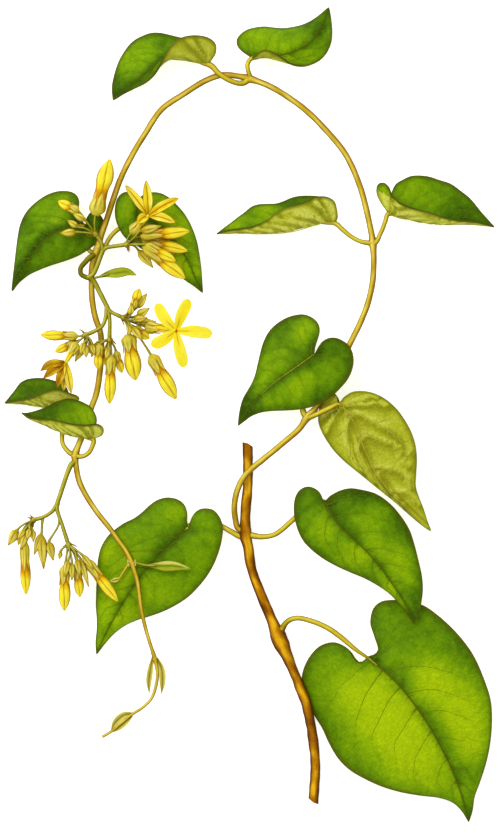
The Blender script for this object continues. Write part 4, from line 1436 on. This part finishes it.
def knob(piece, path):
    fork, way = spread_of(path)
    tube(piece, [fork - way * 1.1, fork, fork + way * 1.1], [0.75, 1.15, 1.32, 1.2, 0.7], STALK,
         sides=14, step=0.2, rough=0.08, seed=4)


def bracts(piece, path, seed):
    """Small narrow scales at the place where the pedicels of an umbel spread."""
    chance = np.random.default_rng(seed)
    fork, way = spread_of(path)
    for _ in range(6):
        aside = unit(np.cross(way, chance.normal(size=3)))
        out = unit(way * chance.uniform(0.1, 0.9) + aside)
        start = fork + aside * 0.9
        length = chance.uniform(1.7, 3.0)
        blade(piece, [start, start + out * length * 0.5, start + out * length + way * 0.5],
              [0.5, 0.75, 0.6, 0.3], CALYX, up=unit(aside + np.array([0, 0, 0.6])), rows=8, columns=5,
              tip=0.5, thickness=0.25, channel=0.2)


def umbels():
    for name, path in {**UPPER_PATHS, **LOWER_PATHS}.items():
        piece = Piece(name)
        knob(piece, path)
        bracts(piece, path, len(name) + int(path[-1][0] * 7) % 97)
        grown, young = UMBELS[name]
        for buds, shape in ((grown, grown_bud), (young, young_bud)):
            for bend, base, tip, *rest in buds:
                pedicel(piece, path[-1], bend, base, tip)
                shape(piece, base, tip, *rest)
        for one in [*FLOWERS.values(), LARGEST_BUD]:
            if one["umbel"] == name:
                pedicel(piece, path[-1], one["bend"], one["base"], one["throat"])
                calyx(piece, one["base"], one["throat"], *one["calyx"], sides=50, open_out=0.08, tip=0.72)
        piece.finish(name + "_buds", "bud")


def seat_of(one):
    """Where a corolla starts in its hollow calyx, clear of it, and how wide it may be there."""
    base = np.array(one["base"], float)
    length, radius = one["calyx"]
    return base + unit(one["throat"] - base) * (length * 0.33 + CLEAR), (radius - 0.6) * 0.95 - CLEAR


# The widths of a petal along it, as shares of the flower's, and its look
PETALS = {
    "open_flower": ((0.42, 0.74, 0.98, 1.02, 0.98, 0.86), dict(
        material=PETAL, tip=0.2, channel=0.22, wave=0.1, line_width=0.2, line_end=0.5, stripes=0.12,
        rim_width=0.3)),
    "half_open_flower": ((0.5, 0.8, 1, 0.96, 0.76, 0.42), dict(
        material=OLD_PETAL, tip=0.3, channel=0.7, wave=0.3, line_width=0.26, line_end=1.0, stripes=0.22,
        rim_width=0.36)),
    "withered_flower": ((0.5, 0.85, 1.05, 1, 0.72, 0.34), dict(
        material=FADED_PETAL, tip=0.35, channel=0.9, wave=0.4, line_width=0.4, line_end=1.1, stripes=0.75,
        rim_width=0.5)),
}
# The last two petals of the withered flower are still fresher
FRESHER = dict(material=OLD_PETAL, stripes=0.25, line_width=0.24, rim_width=0.3, channel=0.5)


def flowers():
    for k, (name, one) in enumerate(FLOWERS.items()):
        piece = Piece(name)
        start, room = seat_of(one)
        v = np.linspace(0, 1, 24)
        radii = room * value_at([0.7, 1, 1, 0.85, 0.8, 0.55], v)
        turned(piece, start, one["throat"], v * (distance(start, one["throat"]) - 0.2), radii, COROLLA,
               0.45 + 0.45 * v, ridge=0.1)
        shares, look = PETALS[name]
        widths = [s * one["width"] for s in shares]
        for j in range(FIVE):
            middle, tip = one["petals"][2 * j:2 * j + 2]
            own = {**look, **FRESHER} if name == "withered_flower" and j > 2 else look
            blade(piece, [between(one["throat"], middle, 0.04), middle, tip], widths, up=one["face"], rows=40,
                  columns=15, seed=j + 3 * k, **own)
        if name == "open_flower":
            throat, face = np.array(one["throat"], float), unit(one["face"])
            turned(piece, throat + face * 0.1, throat + face * 2, np.array([0.0, 0.12, 0.3, 0.36]),
                   [0.75, 0.66, 0.4, 0.12], EYE, [0.3, 0.5, 0.7, 0.2], ridge=0.5, sides=30)
        piece.finish(name + "_petals", "petal")


def largest_bud():
    piece = Piece("largest_bud")
    start, room = seat_of(LARGEST_BUD)
    v = np.linspace(0, 1, 44)
    radii = [room * s for s in (0.6, 1.1, 1.16, 1.1)]
    radii += [BUD_RADIUS * s for s in (0.84, 0.98, 0.99, 0.86, 0.6, 0.22)]
    turned(piece, start, LARGEST_BUD["throat"], v * distance(start, LARGEST_BUD["throat"]),
           value_at(radii, v), COROLLA, value_at([0.2, 0.2, 0.2, 0.25, 0.7, 1, 1, 1, 0.9, 0.6], v),
           ridge=0.17, sides=50, twist=0.5, line_width=0.11)
    piece.finish("largest_bud_corolla", "petal")


def narrow_leaves():
    looks = {"lance_leaf": dict(material=LANCE, rim_width=0.4),
             "young_leaf": dict(material=SOFT_LEAF, rim_width=0.3, lean=0.55)}
    for name, (stalk, spine, widths) in NARROW_LEAVES.items():
        piece = Piece(name)
        blade(piece, spine, widths, rows=40, columns=15, channel=0.5, tip=0.14, line_width=0.3, wave=0.12,
              capped=False, **looks[name])
        tube(piece, stalk, [0.5, 0.4], STALK, sides=10, step=0.4)
        piece.finish(name + "_grown", "leaf")


woody_stem()
twining_shoot()
for grown_leaf in LEAVES:
    leaf_piece(grown_leaf)
flower_stalks()
umbels()
flowers()
largest_bud()
narrow_leaves()


# Floor, light and camera

# Width of the floor in metres, its parts each way and how far it lies under the sprig
FLOOR_WIDTH, FLOOR_PARTS, FLOOR_DROP = 2.4, 24, 0.0002
# The light: where it hangs, how wide it is, its power, and how strong the even light round it is
KEY_PLACE, KEY_SIZE, KEY_POWER, SKY = (-0.7, 0.8, 1.5), 0.9, 14, 0.72
# The camera straight above: its height in metres, and its lens and sensor in millimetres
CAMERA_HEIGHT, LENS, SENSOR = 4.405, 500, 36


def floor():
    """A broad pale sheet under the sprig, a little lit by itself so that shadows on it stay faint."""
    mesh = bpy.data.meshes.new("floor")
    line = [(i / FLOOR_PARTS - 0.5) * FLOOR_WIDTH for i in range(FLOOR_PARTS + 1)]
    mesh.from_pydata([(x, y, -FLOOR_DROP) for y in line for x in line], [], grid_faces(len(line), len(line)))
    material = bpy.data.materials.new("floor_paper")
    material.use_nodes = True
    for socket, value in (("Base Color", (0.93, 0.93, 0.915, 1)), ("Roughness", 0.9),
                          ("Specular IOR Level", 0.05), ("Emission Color", (1.0, 0.998, 0.985, 1)),
                          ("Emission Strength", 0.62)):
        material.node_tree.nodes["Principled BSDF"].inputs[socket].default_value = value
    mesh.materials.append(material)
    linked("floor", mesh)


def studio():
    world = bpy.data.worlds.new("studio")
    world.use_nodes = True
    background = world.node_tree.nodes["Background"]
    background.inputs["Color"].default_value = (1, 1, 0.99, 1)
    background.inputs["Strength"].default_value = SKY
    bpy.context.scene.world = world
    light = bpy.data.lights.new("key", "AREA")
    light.shape = "DISK"
    light.size = KEY_SIZE
    light.energy = KEY_POWER
    thing = linked("key", light)
    thing.location = KEY_PLACE
    thing.rotation_euler = (-thing.location).to_track_quat("-Z", "Y").to_euler()
    bpy.context.scene.view_settings.view_transform = "Standard"


def camera():
    data = bpy.data.cameras.new("camera")
    data.lens = LENS
    data.sensor_width = SENSOR
    data.clip_end = 20
    thing = linked("camera", data)
    thing.location = (0, 0, CAMERA_HEIGHT)
    bpy.context.scene.camera = thing


floor()
studio()
camera()
